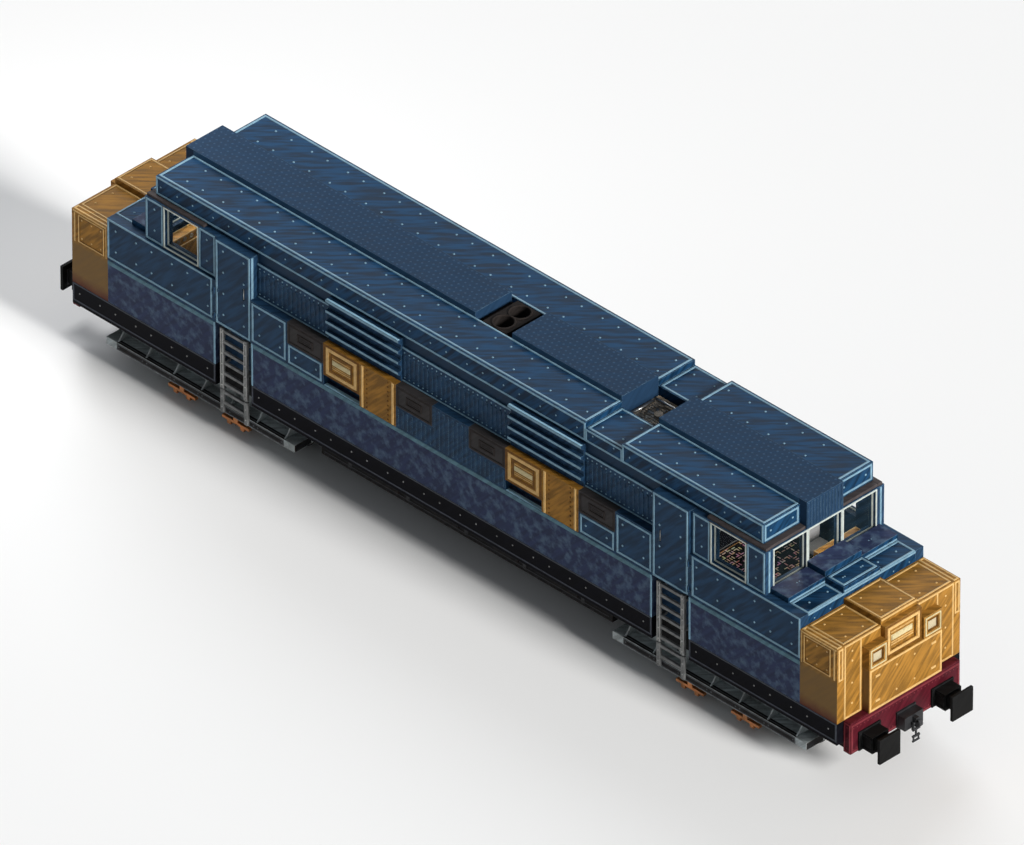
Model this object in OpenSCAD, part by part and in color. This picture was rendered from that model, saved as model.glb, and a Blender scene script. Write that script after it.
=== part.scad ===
// Double-ended diesel locomotive with two low noses and two six-wheeled bogies.
// +X points to the front, +Y to the left side, +Z up. The origin lies under the middle of the
// body, level with the lowest points of the wheel flanges. All sizes are in millimetres.

/* [Body] */
// Length of one bay of the body, which is 21 bays long
bay = 1000; // [840:10:1200]
// Width over the lower body sides
body_w = 3375; // [2815:5:4050]
// Depth by which the lower sides stand out from the upper walls
skin_t = 187.5; // [160:2.5:225]
// Thickness of the inner walls, bulkheads and nose shells
wall_t = 60; // [50:5:72]
// Thickness of the panels let into the upper walls
panel_t = 30; // [25:1:36]
// Depth by which cab sides and louvres stand out from the upper walls
cab_out = 125; // [105:5:150]

/* [Heights] */
// Underside of the sole bars above the rail
sole_h = 1125; // [1100:5:1350]
// Depth of the sole bars
sole_d = 500; // [420:10:600]
// Height of the lower side panels
lower_d = 1000; // [840:10:1200]
// Height of the middle band of side panels
band_d = 1000; // [840:10:1200]
// Height of the upper walls up to the eaves
upper_d = 1000; // [840:10:1200]
// Gap between the cab's eaves and the roof's lower edge
eaves_gap = 62.5; // [50:2.5:75]
// Depth of the roof's side slabs
roof_d = 437.5; // [365:2.5:525]
// Height of the roof's centre strip above its side slabs
roof_rise = 125; // [105:5:150]
// Drop of the roof over the cooling gear
roof_drop = 125; // [105:5:150]
// Width of the roof's centre strip
strip_w = 1000; // [840:10:1200]
// Drop of the nose's top below the deck in front of the cab
nose_drop = 250; // [210:5:300]
// Height of the nose's raised centre panel and of the deck's hatch
hatch_rise = 125; // [105:5:150]

/* [Cab] */
// Width of each windscreen
screen_w = 880; // [735:5:940]
// Height of each window
window_h = 890; // [745:5:940]
// Width of each cab side window
side_window_w = 900; // [750:5:960]
// Thickness of the glass
glass_t = 20; // [17:1:24]
// Clearance round each door
door_gap = 6; // [5:0.5:8]
// Radius of the door hinges' pins
hinge_pin_r = 9; // [8:0.5:11]
// Radius of the door hinges' knuckles
knuckle_r = 18; // [15:1:21]

/* [Buffing gear] */
// Height of the buffers' centres above the rail
buffer_h = 1130; // [1050:5:1350]
// Distance between the buffers' centres
buffer_span = 2000; // [1700:10:2200]
// Side of the square buffer heads
buffer_head = 562.5; // [470:2.5:600]
// Reach of the buffers in front of the nose
buffer_reach = 765; // [640:5:915]
// Depth of the buffer beams from front to back
beam_t = 187.5; // [160:2.5:225]
// Underside of the buffer beams above the rail
beam_h = 906; // [860:2:1000]
// Radius of the draw hook's cross bore
hook_bore_r = 30; // [25:1:36]

/* [Bogies] */
// Distance of each bogie's pivot from the middle, in bays
bogie_bays = 7; // [6.5:0.1:7.5]
// Length of each bogie over its rim
bogie_l = 5250; // [4900:10:5400]
// Radius of the wheel treads
wheel_r = 570; // [475:5:590]
// Height of the wheel flanges
flange_h = 30; // [25:1:36]
// Distance between neighbouring axles
axle_pitch = 1850; // [1700:10:1880]
// Distance between the backs of a pair of wheels
back_to_back = 1600; // [1340:5:1650]
// Width of a wheel over its tread and flange
wheel_w = 135; // [115:5:160]
// Radius of the axle between its wheels
axle_r = 95; // [80:1:110]
// Radius of the axle's journals
journal_r = 75; // [65:1:90]
// Radius of the bogie's centre pin
pivot_r = 150; // [125:5:180]
// Running clearance of journals and pins in their bores
run_gap = 0.1; // [0.05:0.01:0.1]
// Thickness of the ladders' stiles
ladder_t = 62.5; // [55:2.5:75]

/* [Hidden] */
$fn = 96;
rail_z = flange_h;
sole_z = rail_z + sole_h;
floor_z = sole_z + sole_d;
waist_z = floor_z + lower_d;
deck_z = waist_z + band_d;
eaves_z = deck_z + upper_d;
roof_z = eaves_z + eaves_gap;
slab_z = roof_z + roof_d;
top_z = slab_z + roof_rise;
low_z = slab_z - roof_drop;
nose_z = deck_z - nose_drop;

end_x = 10.5 * bay;
nose_x = 9.5 * bay;
cab_x = 8.5 * bay;
door_x = 6.5 * bay;
room_x = 5.5 * bay;

half_w = body_w / 2;
core_y = half_w - skin_t;
wall_y = core_y - panel_t;
room_y = wall_y - wall_t;
cab_y = core_y + cab_out;
strip_y = strip_w / 2;

plate_t = 80;
sill_d = 220;
sill_z = floor_z - plate_t - sill_d;
seat_gap = 0.3;
half_band = band_d / 2;

screen_post = 70;
screen_z = eaves_z - 50 - window_h;
side_window_z = screen_z;

buffer_z = rail_z + buffer_h;
beam_z = rail_z + beam_h;
plate_y = 1000;
drag_l = 500;

bogie_x = bogie_bays * bay;
bogie_y = half_w - ladder_t;
axle_z = rail_z + wheel_r;
rim_t = 60;
rim_low = rail_z + 530;
shelf_z = rail_z + 700;
wheel_y = back_to_back / 2 + wheel_w;
// Share of the usual room between the wheels and the bogie's rim
side_k = (bogie_y - rim_t - wheel_y) / 630;
frame_in = wheel_y + 215 * side_k;
frame_out = frame_in + 150 * side_k;
box_in = frame_in - 110 * side_k;
box_out = frame_out + 20 * side_k;
frame_top = sole_z - 25;
bolster_z = frame_top + 60;
pin_low = rail_z + 830;
beam_in_z = rail_z + 780;
tank_gap = 375;
tank_x = bogie_x - bogie_l / 2 - tank_gap;
tank_y = room_y - 160;
tank_low = rail_z + 520;
step_low = rail_z + 572;
ladder_gap = 15;

// A block between two corners.
module block(x, y, z)
    translate([x[0], y[0], z[0]]) cube([x[1] - x[0], y[1] - y[0], z[1] - z[0]]);

// A block centred across the vehicle.
module middle(x, w, z) block(x, [-w, w], z);

// The same shape on the left and on the right.
module both_sides() {
    children();
    mirror([0, 1, 0]) children();
}

// The same shape at the front and at the rear.
module both_ends() {
    children();
    mirror([1, 0, 0]) children();
}

// The same shape at the front and, turned half round, at the rear.
module each_cab() {
    children();
    rotate([0, 0, 180]) children();
}

/* ---- underframe ---- */

module underframe() color("#26272b") {
    middle([-end_x, end_x], room_y, [floor_z - plate_t, floor_z]);
    both_sides() block([-end_x, end_x], [room_y, wall_y], [sole_z, floor_z]);
    both_sides() block([-end_x + drag_l, end_x - drag_l], [350, 550], [sill_z, floor_z - plate_t]);
    for (n = [-8:2:8])
        middle([n * bay - 75, n * bay + 75], room_y, [sill_z, floor_z - plate_t]);
    both_ends() {
        middle([bogie_x - 350, bogie_x + 350], 550, [sill_z, floor_z - plate_t]);
        translate([bogie_x, 0, bolster_z + seat_gap])
            cylinder(r = 400, h = sill_z - bolster_z);
        translate([bogie_x, 0, pin_low]) cylinder(r = pivot_r, h = sill_z - pin_low);
    }
}

// Left out where the ladders stand.
module sole_bars() color("#141519") both_sides() {
    block([-room_x, room_x], [wall_y, half_w], [sole_z, floor_z]);
    both_ends() block([door_x, end_x], [wall_y, half_w], [sole_z, floor_z]);
}

module drag_boxes() color("#1c1d21") both_ends()
    middle([end_x - drag_l, end_x], room_y, [beam_z, floor_z - plate_t]);

module centre_tank() color("#1b1c20") {
    middle([-tank_x, tank_x], tank_y, [tank_low, sill_z]);
    both_sides() for (s = [-0.62, -0.21, 0.2, 0.61] * tank_x)
        block([s, s + 0.16 * tank_x], [tank_y, tank_y + 40], [tank_low + 140, sill_z - 60]);
}

/* ---- buffing and draw gear ---- */

module buffer_beams() color("#6b1f31") both_ends()
    middle([end_x, end_x + beam_t], core_y, [beam_z, floor_z]);

// One buffer: base plate, stepped casing, shank and square head.
module buffer() {
    face = end_x + beam_t;
    head_x = end_x + buffer_reach;
    base_t = 40;
    head_t = 65;
    case_l = 0.55 * (head_x - face);
    module stage(x0, x1, w, h) block([x0, x1], [-w / 2, w / 2], [buffer_z - h / 2, buffer_z + h / 2]);
    stage(face, face + base_t, 600, 430);
    stage(face + base_t, face + case_l, 440, 380);
    stage(face + case_l, head_x - head_t, 300, 300);
    stage(head_x - head_t, head_x, buffer_head, buffer_head);
}

module buffers() color("#232429") both_ends() both_sides()
    translate([0, buffer_span / 2, 0]) buffer();

hook_x = end_x + beam_t + 330;
hook_t = 90;
hook_z = buffer_z - 40;

// Base plate, guide block and a flat hook with a cross bore for the coupling's pin.
module draw_hooks() color("#2a2b2f") both_ends() difference() {
    union() {
        block([end_x + beam_t, end_x + beam_t + 40], [-260, 260], [hook_z - 170, hook_z + 190]);
        block([end_x + beam_t, hook_x - 90], [-250, 250], [hook_z - 150, hook_z + 150]);
        block([hook_x - 90, hook_x + 10], [-hook_t / 2, hook_t / 2], [hook_z - 90, hook_z + 110]);
        translate([hook_x + 10, hook_t / 2, hook_z + 10]) rotate([90, 0, 0]) difference() {
            cylinder(r = 100, h = hook_t);
            translate([10, 45, -1]) cylinder(r = 40, h = hook_t + 2);
            translate([-30, 45, -1]) cube([80, 80, hook_t + 2]);
        }
    }
    translate([hook_x - 35, 0, hook_z - 20]) rotate([90, 0, 0])
        cylinder(r = hook_bore_r, h = 4 * hook_t, center = true);
}

// Shackle, screw and link of the coupling, hanging from the hook's bore.
module coupling_links() color("#3a3b3f") both_ends() {
    pin_y = hook_t / 2 + 45;
    translate([hook_x - 35, 0, hook_z - 20]) {
        rotate([90, 0, 0]) cylinder(r = hook_bore_r - seat_gap, h = 2 * pin_y, center = true);
        both_sides() translate([0, pin_y - 15, -130]) {
            rotate([0, 90, 90]) cylinder(r = 38, h = 30, center = true);
            translate([-22, -15, 0]) cube([44, 30, 160]);
        }
        translate([0, 0, -150]) rotate([90, 0, 0])
            cylinder(r = 30, h = 2 * pin_y, center = true);
        translate([0, 0, -330]) cylinder(r = 22, h = 190);
        both_sides() translate([0, pin_y - 22, -420]) cylinder(r = 18, h = 110);
        translate([0, 0, -310]) rotate([90, 0, 0]) cylinder(r = 28, h = 2 * pin_y, center = true);
        translate([0, 0, -420]) rotate([90, 0, 0])
            cylinder(r = 22, h = 2 * pin_y, center = true);
    }
}

/* ---- body sides ---- */

module side_walls() color("#22304a") both_sides()
    block([-room_x, room_x], [room_y, wall_y], [floor_z, roof_z]);

module lower_panels() color("#232b42") both_sides() {
    block([-room_x, room_x], [wall_y, half_w], [floor_z, waist_z]);
    both_ends() block([door_x, nose_x], [wall_y, half_w], [floor_z, waist_z]);
}

// Flank panels of the nose, end panels of the engine room and the plain middle stretch.
module band_panels() color("#223049") both_sides() {
    both_ends() {
        block([door_x, nose_x], [wall_y, half_w], [waist_z, deck_z]);
        block([4.5 * bay, room_x], [wall_y, half_w], [waist_z, deck_z]);
        block([3.5 * bay, 4.5 * bay], [wall_y, half_w], [waist_z, waist_z + half_band]);
    }
    block([-1.5 * bay, 1.5 * bay], [wall_y, half_w], [waist_z, waist_z + half_band]);
    block([-0.5 * bay, 0.5 * bay], [wall_y, half_w], [waist_z + half_band, deck_z]);
}

module side_vents() color("#2b2b2e") both_sides() both_ends() {
    block([3.5 * bay, 4.5 * bay], [wall_y, half_w], [waist_z + half_band, deck_z]);
    block([0.5 * bay, 1.5 * bay], [wall_y, half_w], [waist_z + half_band, deck_z]);
}

grille_drop = 250;

module grille_panels() color("#b07a2c") both_sides() for (x = [-3.5, 1.5] * bay) {
    block([x, x + bay], [wall_y, half_w], [waist_z + grille_drop, deck_z]);
    block([x, x + bay], [wall_y, core_y], [waist_z, waist_z + grille_drop]);
}

module edge_panels() color("#a8702a") both_sides() for (x = [-2.5, 2.5] * bay)
    block([x, x + bay], [wall_y, half_w], [waist_z, deck_z]);

rib_d = 0.8125 * upper_d;

module ribbed_panels() color("#24344e") both_sides() {
    block([-1.5 * bay, 1.5 * bay], [wall_y, core_y], [deck_z, deck_z + rib_d]);
    both_ends() block([3.5 * bay, room_x], [wall_y, core_y], [deck_z, deck_z + rib_d]);
}

slat_pitch = upper_d / 4;

// Each bank of slats has a back plate, and every slat leans out over the one below.
module louvres() color("#24344e") both_sides() both_ends()
    translate([1.5 * bay, 0, 0]) {
        block([0, 2 * bay], [wall_y, core_y + 40], [deck_z, eaves_z]);
        for (n = [0:3]) translate([0, 0, deck_z + n * slat_pitch])
            translate([2 * bay, core_y + 40, 0]) rotate([0, -90, 0]) linear_extrude(2 * bay)
                polygon([[0.45 * slat_pitch, -10], [0.75 * slat_pitch, cab_out - 40],
                    [slat_pitch, cab_out - 40], [slat_pitch, -10]]);
    }

/* ---- roof ---- */

roof_end = cab_x - skin_t;

module roof_sides() color("#2c4061") both_sides() {
    difference() {
        block([-roof_end, roof_end], [strip_y, core_y], [roof_z, slab_z]);
        block([3.5 * bay, 4.5 * bay], [strip_y - 1, core_y + 1], [low_z, slab_z + 1]);
    }
}

// Three lengths: the exhaust and the cooling gear stand in the gaps between them.
module roof_centre() color("#2f4668") {
    middle([-roof_end, -0.5 * bay], strip_y, [roof_z, top_z]);
    middle([0.5 * bay, 3.5 * bay], strip_y, [roof_z, top_z]);
    middle([4.5 * bay, roof_end], strip_y, [roof_z, top_z]);
    both_ends() middle([roof_end, cab_x], strip_y, [eaves_z, top_z]);
}

port_r = 205;

// Two castings side by side, each with a round port.
module exhaust() color("#3b3431") both_sides() difference() {
    union() {
        block([-0.5 * bay, 0.5 * bay], [1, strip_y], [roof_z, low_z]);
        block([-0.32 * bay, 0.32 * bay], [1, strip_y - 20], [low_z, slab_z]);
    }
    translate([0, 0.45 * strip_y, slab_z - 300]) cylinder(r = port_r, h = 301);
}

fan_r = 330;

// Fan ring, hub and pipes on a floor sunk below the roof.
module cooling_gear() color("#6b5f50") translate([4 * bay, 0, roof_z]) {
    middle([-0.5 * bay, 0.5 * bay], strip_y, [0, 85]);
    difference() {
        cylinder(r = fan_r, h = 125);
        translate([0, 0, 40]) cylinder(r = fan_r - 40, h = 100);
    }
    cylinder(r = 90, h = 150);
    both_sides() block([-0.45 * bay, 0.45 * bay], [strip_y - 120, strip_y - 40], [80, 135]);
}

/* ---- power plant ---- */

module engine() color("#3a4a3d") middle([-3 * bay, 2.8 * bay], 800, [floor_z, floor_z + 2100]);

/* ---- cabs ---- */

module screen_holes() {
    for (n = [-1:1]) translate([0, n * (screen_w + screen_post), 0])
        block([roof_end - 1, cab_x + 1], [-screen_w / 2, screen_w / 2],
            [screen_z, screen_z + window_h]);
}

module side_window_hole()
    block([7.5 * bay - side_window_w / 2, 7.5 * bay + side_window_w / 2],
        [room_y - 1, cab_y + 1], [side_window_z, side_window_z + window_h]);

door_lap = 45;

// Side walls, screen wall and both bulkheads, with doorways and windows cut.
module cab_shell() difference() {
    union() {
        both_sides() {
            block([room_x, cab_x], [room_y, wall_y], [floor_z, deck_z]);
            block([room_x, roof_end], [room_y, wall_y], [deck_z, roof_z]);
            block([door_x, cab_x], [room_y, cab_y], [deck_z, eaves_z]);
        }
        middle([roof_end, cab_x], cab_y, [deck_z, eaves_z]);
        middle([roof_end - wall_t, roof_end], room_y, [screen_z + window_h, roof_z]);
        middle([cab_x - wall_t, cab_x], room_y, [floor_z, deck_z]);
        middle([room_x, room_x + wall_t], room_y, [floor_z, roof_z]);
    }
    screen_holes();
    both_sides() {
        side_window_hole();
        block([room_x + wall_t + door_lap, door_x - door_lap], [room_y - 1, wall_y + 1],
            [waist_z, eaves_z - door_lap]);
    }
}

module cab_front() color("#2a3b58") cab_shell();
module cab_rear() color("#2a3b58") mirror([1, 0, 0]) cab_shell();

module cab_glass() color("#a9c4cc") both_ends() {
    for (n = [-1:1]) translate([0, n * (screen_w + screen_post), 0])
        block([cab_x - 90, cab_x - 90 + glass_t],
            [seat_gap - screen_w / 2, screen_w / 2 - seat_gap],
            [screen_z + seat_gap, screen_z + window_h - seat_gap]);
    both_sides() block(
        [7.5 * bay - side_window_w / 2 + seat_gap, 7.5 * bay + side_window_w / 2 - seat_gap],
        [cab_y - 90, cab_y - 90 + glass_t],
        [side_window_z + seat_gap, side_window_z + window_h - seat_gap]);
}

cab_floor_z = waist_z - 10;
cab_floor_t = 70;

module cab_floors() color("#2d2a28") both_ends()
    middle([room_x + wall_t, cab_x - wall_t], room_y,
        [cab_floor_z - cab_floor_t, cab_floor_z]);

desk_x = cab_x - wall_t;
desk_z = cab_floor_z + 780;

// Desk across the cab with the driver's raised console on the left and a locker on the right.
module cab_desks() color("#8a5a22") each_cab() {
    block([desk_x - 420, desk_x], [-0.25 * room_y, room_y], [cab_floor_z, desk_z]);
    block([desk_x - 380, desk_x - 150], [0.1 * room_y, 0.92 * room_y], [desk_z, desk_z + 170]);
    block([desk_x - 420, desk_x], [-room_y, -0.4 * room_y], [cab_floor_z, desk_z - 130]);
    block([room_x + wall_t, room_x + wall_t + 350], [-0.35 * room_y, 0.35 * room_y],
        [cab_floor_z, cab_floor_z + 1500]);
}

// Two seats, each a cushion and a back on a pedestal.
module cab_seats() color("#4a4a4c") each_cab() for (y = [-0.55, 0.55] * room_y)
    translate([desk_x - 900, y, cab_floor_z]) {
        cylinder(r = 60, h = 430);
        cylinder(r = 170, h = 20);
        translate([-230, -230, 420]) cube([460, 460, 110]);
        translate([-230, -215, 520]) cube([100, 430, 480]);
    }

/* ---- noses ---- */

// Blue deck between the screens and the nose, with the ledges under the screens and a hatch.
module nose_decks() color("#2c3f60") both_ends() {
    difference() {
        middle([cab_x, nose_x], wall_y, [floor_z, deck_z]);
        middle([cab_x - 1, nose_x - wall_t], wall_y - wall_t, [floor_z - 1, deck_z - wall_t]);
    }
    middle([cab_x, 9 * bay], core_y, [deck_z, deck_z + hatch_rise]);
    middle([cab_x, 9 * bay], strip_y, [deck_z + hatch_rise, deck_z + 2 * hatch_rise]);
    middle([9 * bay, nose_x], strip_y, [deck_z, deck_z + hatch_rise]);
}

module noses() color("#b9822f") both_ends() {
    difference() {
        middle([nose_x, end_x], half_w, [floor_z, nose_z]);
        middle([nose_x - 1, end_x - wall_t], half_w - wall_t, [floor_z - 1, nose_z - wall_t]);
    }
    middle([nose_x, end_x], strip_y, [nose_z, nose_z + hatch_rise]);
}

module nose_plates() color("#bd8430") both_ends()
    middle([end_x, end_x + skin_t], plate_y, [floor_z, waist_z]);

lamp_w = 500;
lens_w = 300;

// Four lamp boxes with a sunk square window.
module marker_lights() color("#c39a48") both_ends() both_sides() difference() {
    block([end_x, end_x + skin_t], [plate_y - lamp_w, plate_y], [waist_z, waist_z + lamp_w]);
    block([end_x + skin_t - 40, end_x + skin_t + 1],
        [plate_y - (lamp_w + lens_w) / 2, plate_y - (lamp_w - lens_w) / 2],
        [waist_z + (lamp_w - lens_w) / 2, waist_z + (lamp_w + lens_w) / 2]);
}

code_t = 125;

module headcode_boxes() color("#a06c28") both_ends() difference() {
    middle([end_x, end_x + code_t], plate_y - lamp_w, [waist_z, nose_z]);
    middle([end_x + code_t - 50, end_x + code_t + 1], plate_y - lamp_w - 160,
        [waist_z + 130, nose_z - 130]);
}

/* ---- ladders and doors ---- */

ladder_w = 0.75 * bay;
stile_w = 90;
rung_pitch = 250;

// A ladder between two heights, standing on its own feet where feet are wanted.
module ladder(low, high, rungs) {
    both_ends() block([ladder_w / 2 - stile_w, ladder_w / 2], [half_w - ladder_t, half_w],
        [low, high]);
    for (n = [0:rungs - 1])
        block([-ladder_w / 2, ladder_w / 2], [half_w - ladder_t, half_w - 8],
            [high - 90 - n * rung_pitch, high - 30 - n * rung_pitch]);
}

ladder_top = waist_z - 60;

module ladders() color("#55565a") both_sides() both_ends() translate([6 * bay, 0, 0]) {
    ladder(sole_z + ladder_gap, ladder_top, 6);
    both_ends() for (z = [floor_z + 80, ladder_top - 160])
        block([ladder_w / 2 - stile_w, ladder_w / 2], [wall_y, half_w - ladder_t], [z, z + 60]);
}

hinge_y = half_w + knuckle_r;
knuckle_h = 80;
strap_l = 110;
strap_t = 10;
hinge_zs = [waist_z + 160, deck_z - 240];

// Door on the left at the front, closed, with the knuckles of its two hinges.
module door_leaf() {
    difference() {
        block([room_x + door_gap, door_x - door_gap], [wall_y + door_gap, half_w],
            [waist_z + door_gap, eaves_z]);
        block([room_x + 0.18 * bay, room_x + 0.24 * bay], [half_w - 25, half_w + 1],
            [waist_z + 900, waist_z + 1180]);
    }
    for (z = hinge_zs) translate([door_x, 0, z]) difference() {
        union() {
            translate([0, hinge_y, 0]) cylinder(r = knuckle_r, h = knuckle_h);
            block([-strap_l, 0], [half_w, half_w + strap_t], [0, knuckle_h]);
        }
        translate([0, hinge_y, -1]) cylinder(r = hinge_pin_r + run_gap, h = knuckle_h + 2);
    }
}

// Fixed halves of the hinges: pin, lower knuckle and strap on the neighbouring panel.
module door_hinges() color("#3a4a66") both_sides() both_ends()
    for (z = hinge_zs) translate([door_x, 0, z - 50]) {
        translate([0, hinge_y, 0]) cylinder(r = knuckle_r, h = 50 - seat_gap);
        translate([0, hinge_y, 0]) cylinder(r = hinge_pin_r, h = 50 + knuckle_h + 5);
        block([0, strap_l], [half_w, half_w + strap_t], [0, 50 - seat_gap]);
    }

module door_front_left() color("#26354f") door_leaf();
module door_front_right() color("#26354f") mirror([0, 1, 0]) door_leaf();
module door_rear_left() color("#26354f") mirror([1, 0, 0]) door_leaf();
module door_rear_right() color("#26354f") mirror([1, 0, 0]) mirror([0, 1, 0]) door_leaf();

/* ---- bogies ---- */

half_l = bogie_l / 2;
transom_x = axle_pitch / 2 + 20;

// Side frames on a shelf with a hanging rim, two transoms and a pivot block between them.
module bogie_frame() {
    both_sides() {
        block([-half_l + 275, half_l - 275], [frame_in, frame_out], [shelf_z, frame_top]);
        block([-half_l, half_l], [frame_in, bogie_y], [shelf_z - 45, shelf_z]);
        block([-half_l, half_l], [bogie_y - rim_t, bogie_y], [rim_low, shelf_z]);
        both_ends()
            block([transom_x - 125, transom_x + 125], [-1, frame_in], [beam_in_z, frame_top - 30]);
    }
    both_ends() {
        middle([half_l - rim_t, half_l], bogie_y, [rim_low, shelf_z]);
        middle([half_l - 140, half_l], bogie_y, [shelf_z - 45, shelf_z]);
    }
    difference() {
        union() {
            both_sides() block([-transom_x, transom_x], [250, 450], [beam_in_z, frame_top - 30]);
            middle([-420, 420], 450, [beam_in_z, frame_top - 30]);
            translate([0, 0, frame_top - 40]) cylinder(r = 400, h = bolster_z - frame_top + 40);
        }
        translate([0, 0, beam_in_z - 1]) cylinder(r = pivot_r + run_gap, h = 1000);
    }
}

// Steps below the body's ladders, fixed to the rim.
module lower_steps() both_sides() translate([-bay, 0, 0])
    ladder(step_low, sole_z - ladder_gap, 2);

module axle_boxes() both_sides() for (n = [-1:1]) translate([n * axle_pitch, 0, 0]) difference() {
    block([-190, 190], [box_in, box_out], [axle_z - 170, shelf_z - 45]);
    translate([0, frame_out - 60, axle_z]) rotate([90, 0, 0])
        cylinder(r = journal_r + run_gap, h = 400);
}

// Motors beside their axles: the outer two hang from the transoms, the middle one from the
// beams of the pivot block.
module motors() {
    start = axle_r + 25;
    for (s = [-1, 1]) {
        near = s * transom_x;
        far = s * (axle_pitch - start);
        block([min(near, far), max(near, far)], [-620, 620], [axle_z - 300, beam_in_z]);
    }
    block([-start - 560, -start], [-620, 620], [axle_z - 300, beam_in_z]);
}

// Copper-coloured brackets hanging low between the wheels.
module brake_brackets() both_sides() both_ends() translate([0.75 * half_l / 2.625, 0, 0]) {
    y = [box_out, box_out + 80 * side_k];
    block([-60, 60], y, [rail_z + 220, shelf_z - 45]);
    block([-375, 375], y, [rail_z + 165, rail_z + 225]);
    both_ends() block([130, 230], y, [rail_z + 90, rail_z + 170]);
}

module front_bogie() translate([bogie_x, 0, 0]) children();
module rear_bogie() mirror([1, 0, 0]) translate([bogie_x, 0, 0]) children();

module bogie_frame_front() color("#3c3e41") front_bogie() bogie_frame();
module bogie_frame_rear() color("#3c3e41") rear_bogie() bogie_frame();
module bogie_steps_front() color("#55565a") front_bogie() lower_steps();
module bogie_steps_rear() color("#55565a") rear_bogie() lower_steps();
module axle_boxes_front() color("#2e3033") front_bogie() axle_boxes();
module axle_boxes_rear() color("#2e3033") rear_bogie() axle_boxes();
module motors_front() color("#2b2c2f") front_bogie() motors();
module motors_rear() color("#2b2c2f") rear_bogie() motors();
module brake_brackets_front() color("#b26a3c") front_bogie() brake_brackets();
module brake_brackets_rear() color("#b26a3c") rear_bogie() brake_brackets();

// Half profile of a wheel from its back face outwards: flange, tread, web and hub.
module wheel_profile() {
    y0 = back_to_back / 2;
    flange_r = wheel_r + flange_h;
    tyre_r = wheel_r - 70;
    hub_r = axle_r + 60;
    polygon([[axle_r - 1, y0], [hub_r, y0], [hub_r, y0 + 40], [tyre_r, y0 + 45], [tyre_r, y0],
        [flange_r - 6, y0], [flange_r, y0 + 8], [flange_r, y0 + 22], [wheel_r + 6, y0 + 34],
        [wheel_r, y0 + 42], [wheel_r, y0 + wheel_w], [tyre_r, y0 + wheel_w],
        [tyre_r, y0 + 80], [hub_r, y0 + 85], [hub_r, y0 + wheel_w], [axle_r - 1, y0 + wheel_w]]);
}

// Axle with its journals and both wheels, turning about the Y axis.
module wheelset(n) color("#46474b") {
    place = (n <= 3 ? 1 : -1) * bogie_x + (n <= 3 ? 2 - n : 5 - n) * axle_pitch;
    translate([place, 0, axle_z]) rotate([90, 0, 0]) {
        cylinder(r = axle_r, h = back_to_back + 2 * wheel_w, center = true);
        cylinder(r = journal_r, h = 2 * (frame_out - 70), center = true);
        rotate_extrude() wheel_profile();
        mirror([0, 0, 1]) rotate_extrude() wheel_profile();
    }
}

/* ---- nodes ---- */

underframe();
sole_bars();
drag_boxes();
centre_tank();
buffer_beams();
buffers();
draw_hooks();
coupling_links();
side_walls();
lower_panels();
band_panels();
side_vents();
grille_panels();
edge_panels();
ribbed_panels();
louvres();
roof_sides();
roof_centre();
exhaust();
cooling_gear();
engine();
cab_front();
cab_rear();
cab_glass();
cab_floors();
cab_desks();
cab_seats();
nose_decks();
noses();
nose_plates();
marker_lights();
headcode_boxes();
ladders();
door_hinges();
door_front_left();
door_front_right();
door_rear_left();
door_rear_right();
bogie_frame_front();
bogie_steps_front();
axle_boxes_front();
motors_front();
brake_brackets_front();
bogie_frame_rear();
bogie_steps_rear();
axle_boxes_rear();
motors_rear();
brake_brackets_rear();
for (n = [1:6]) wheelset(n);
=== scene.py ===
"""Paint, trim and fittings of a double-ended diesel locomotive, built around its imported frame."""

import math

import bmesh
import bpy
import numpy as np
from bpy.props import FloatProperty, FloatVectorProperty, IntProperty, PointerProperty
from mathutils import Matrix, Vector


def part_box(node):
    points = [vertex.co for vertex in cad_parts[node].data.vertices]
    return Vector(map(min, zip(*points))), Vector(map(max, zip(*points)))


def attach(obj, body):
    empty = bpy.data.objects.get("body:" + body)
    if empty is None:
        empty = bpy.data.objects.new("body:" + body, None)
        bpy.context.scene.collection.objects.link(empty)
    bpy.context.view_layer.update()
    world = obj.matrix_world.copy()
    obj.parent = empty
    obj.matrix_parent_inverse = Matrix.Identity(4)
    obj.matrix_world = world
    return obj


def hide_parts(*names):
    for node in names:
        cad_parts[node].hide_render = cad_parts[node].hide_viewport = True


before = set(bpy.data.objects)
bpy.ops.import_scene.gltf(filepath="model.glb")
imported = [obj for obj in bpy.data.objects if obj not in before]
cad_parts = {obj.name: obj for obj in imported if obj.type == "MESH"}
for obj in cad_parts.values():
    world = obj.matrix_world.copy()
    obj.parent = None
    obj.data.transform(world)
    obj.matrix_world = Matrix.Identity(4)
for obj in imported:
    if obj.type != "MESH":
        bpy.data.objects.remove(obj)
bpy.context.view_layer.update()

bl_info = {
    "name": "Diesel Locomotive Finishes",
    "version": (1, 0, 0),
    "blender": (4, 5, 0),
    "location": "View3D > Sidebar > Locomotive",
    "description": "Paints a packed diesel locomotive and adds its trim and fittings",
    "category": "Object",
}


def low(node):
    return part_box(node)[0]


def high(node):
    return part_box(node)[1]


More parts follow.
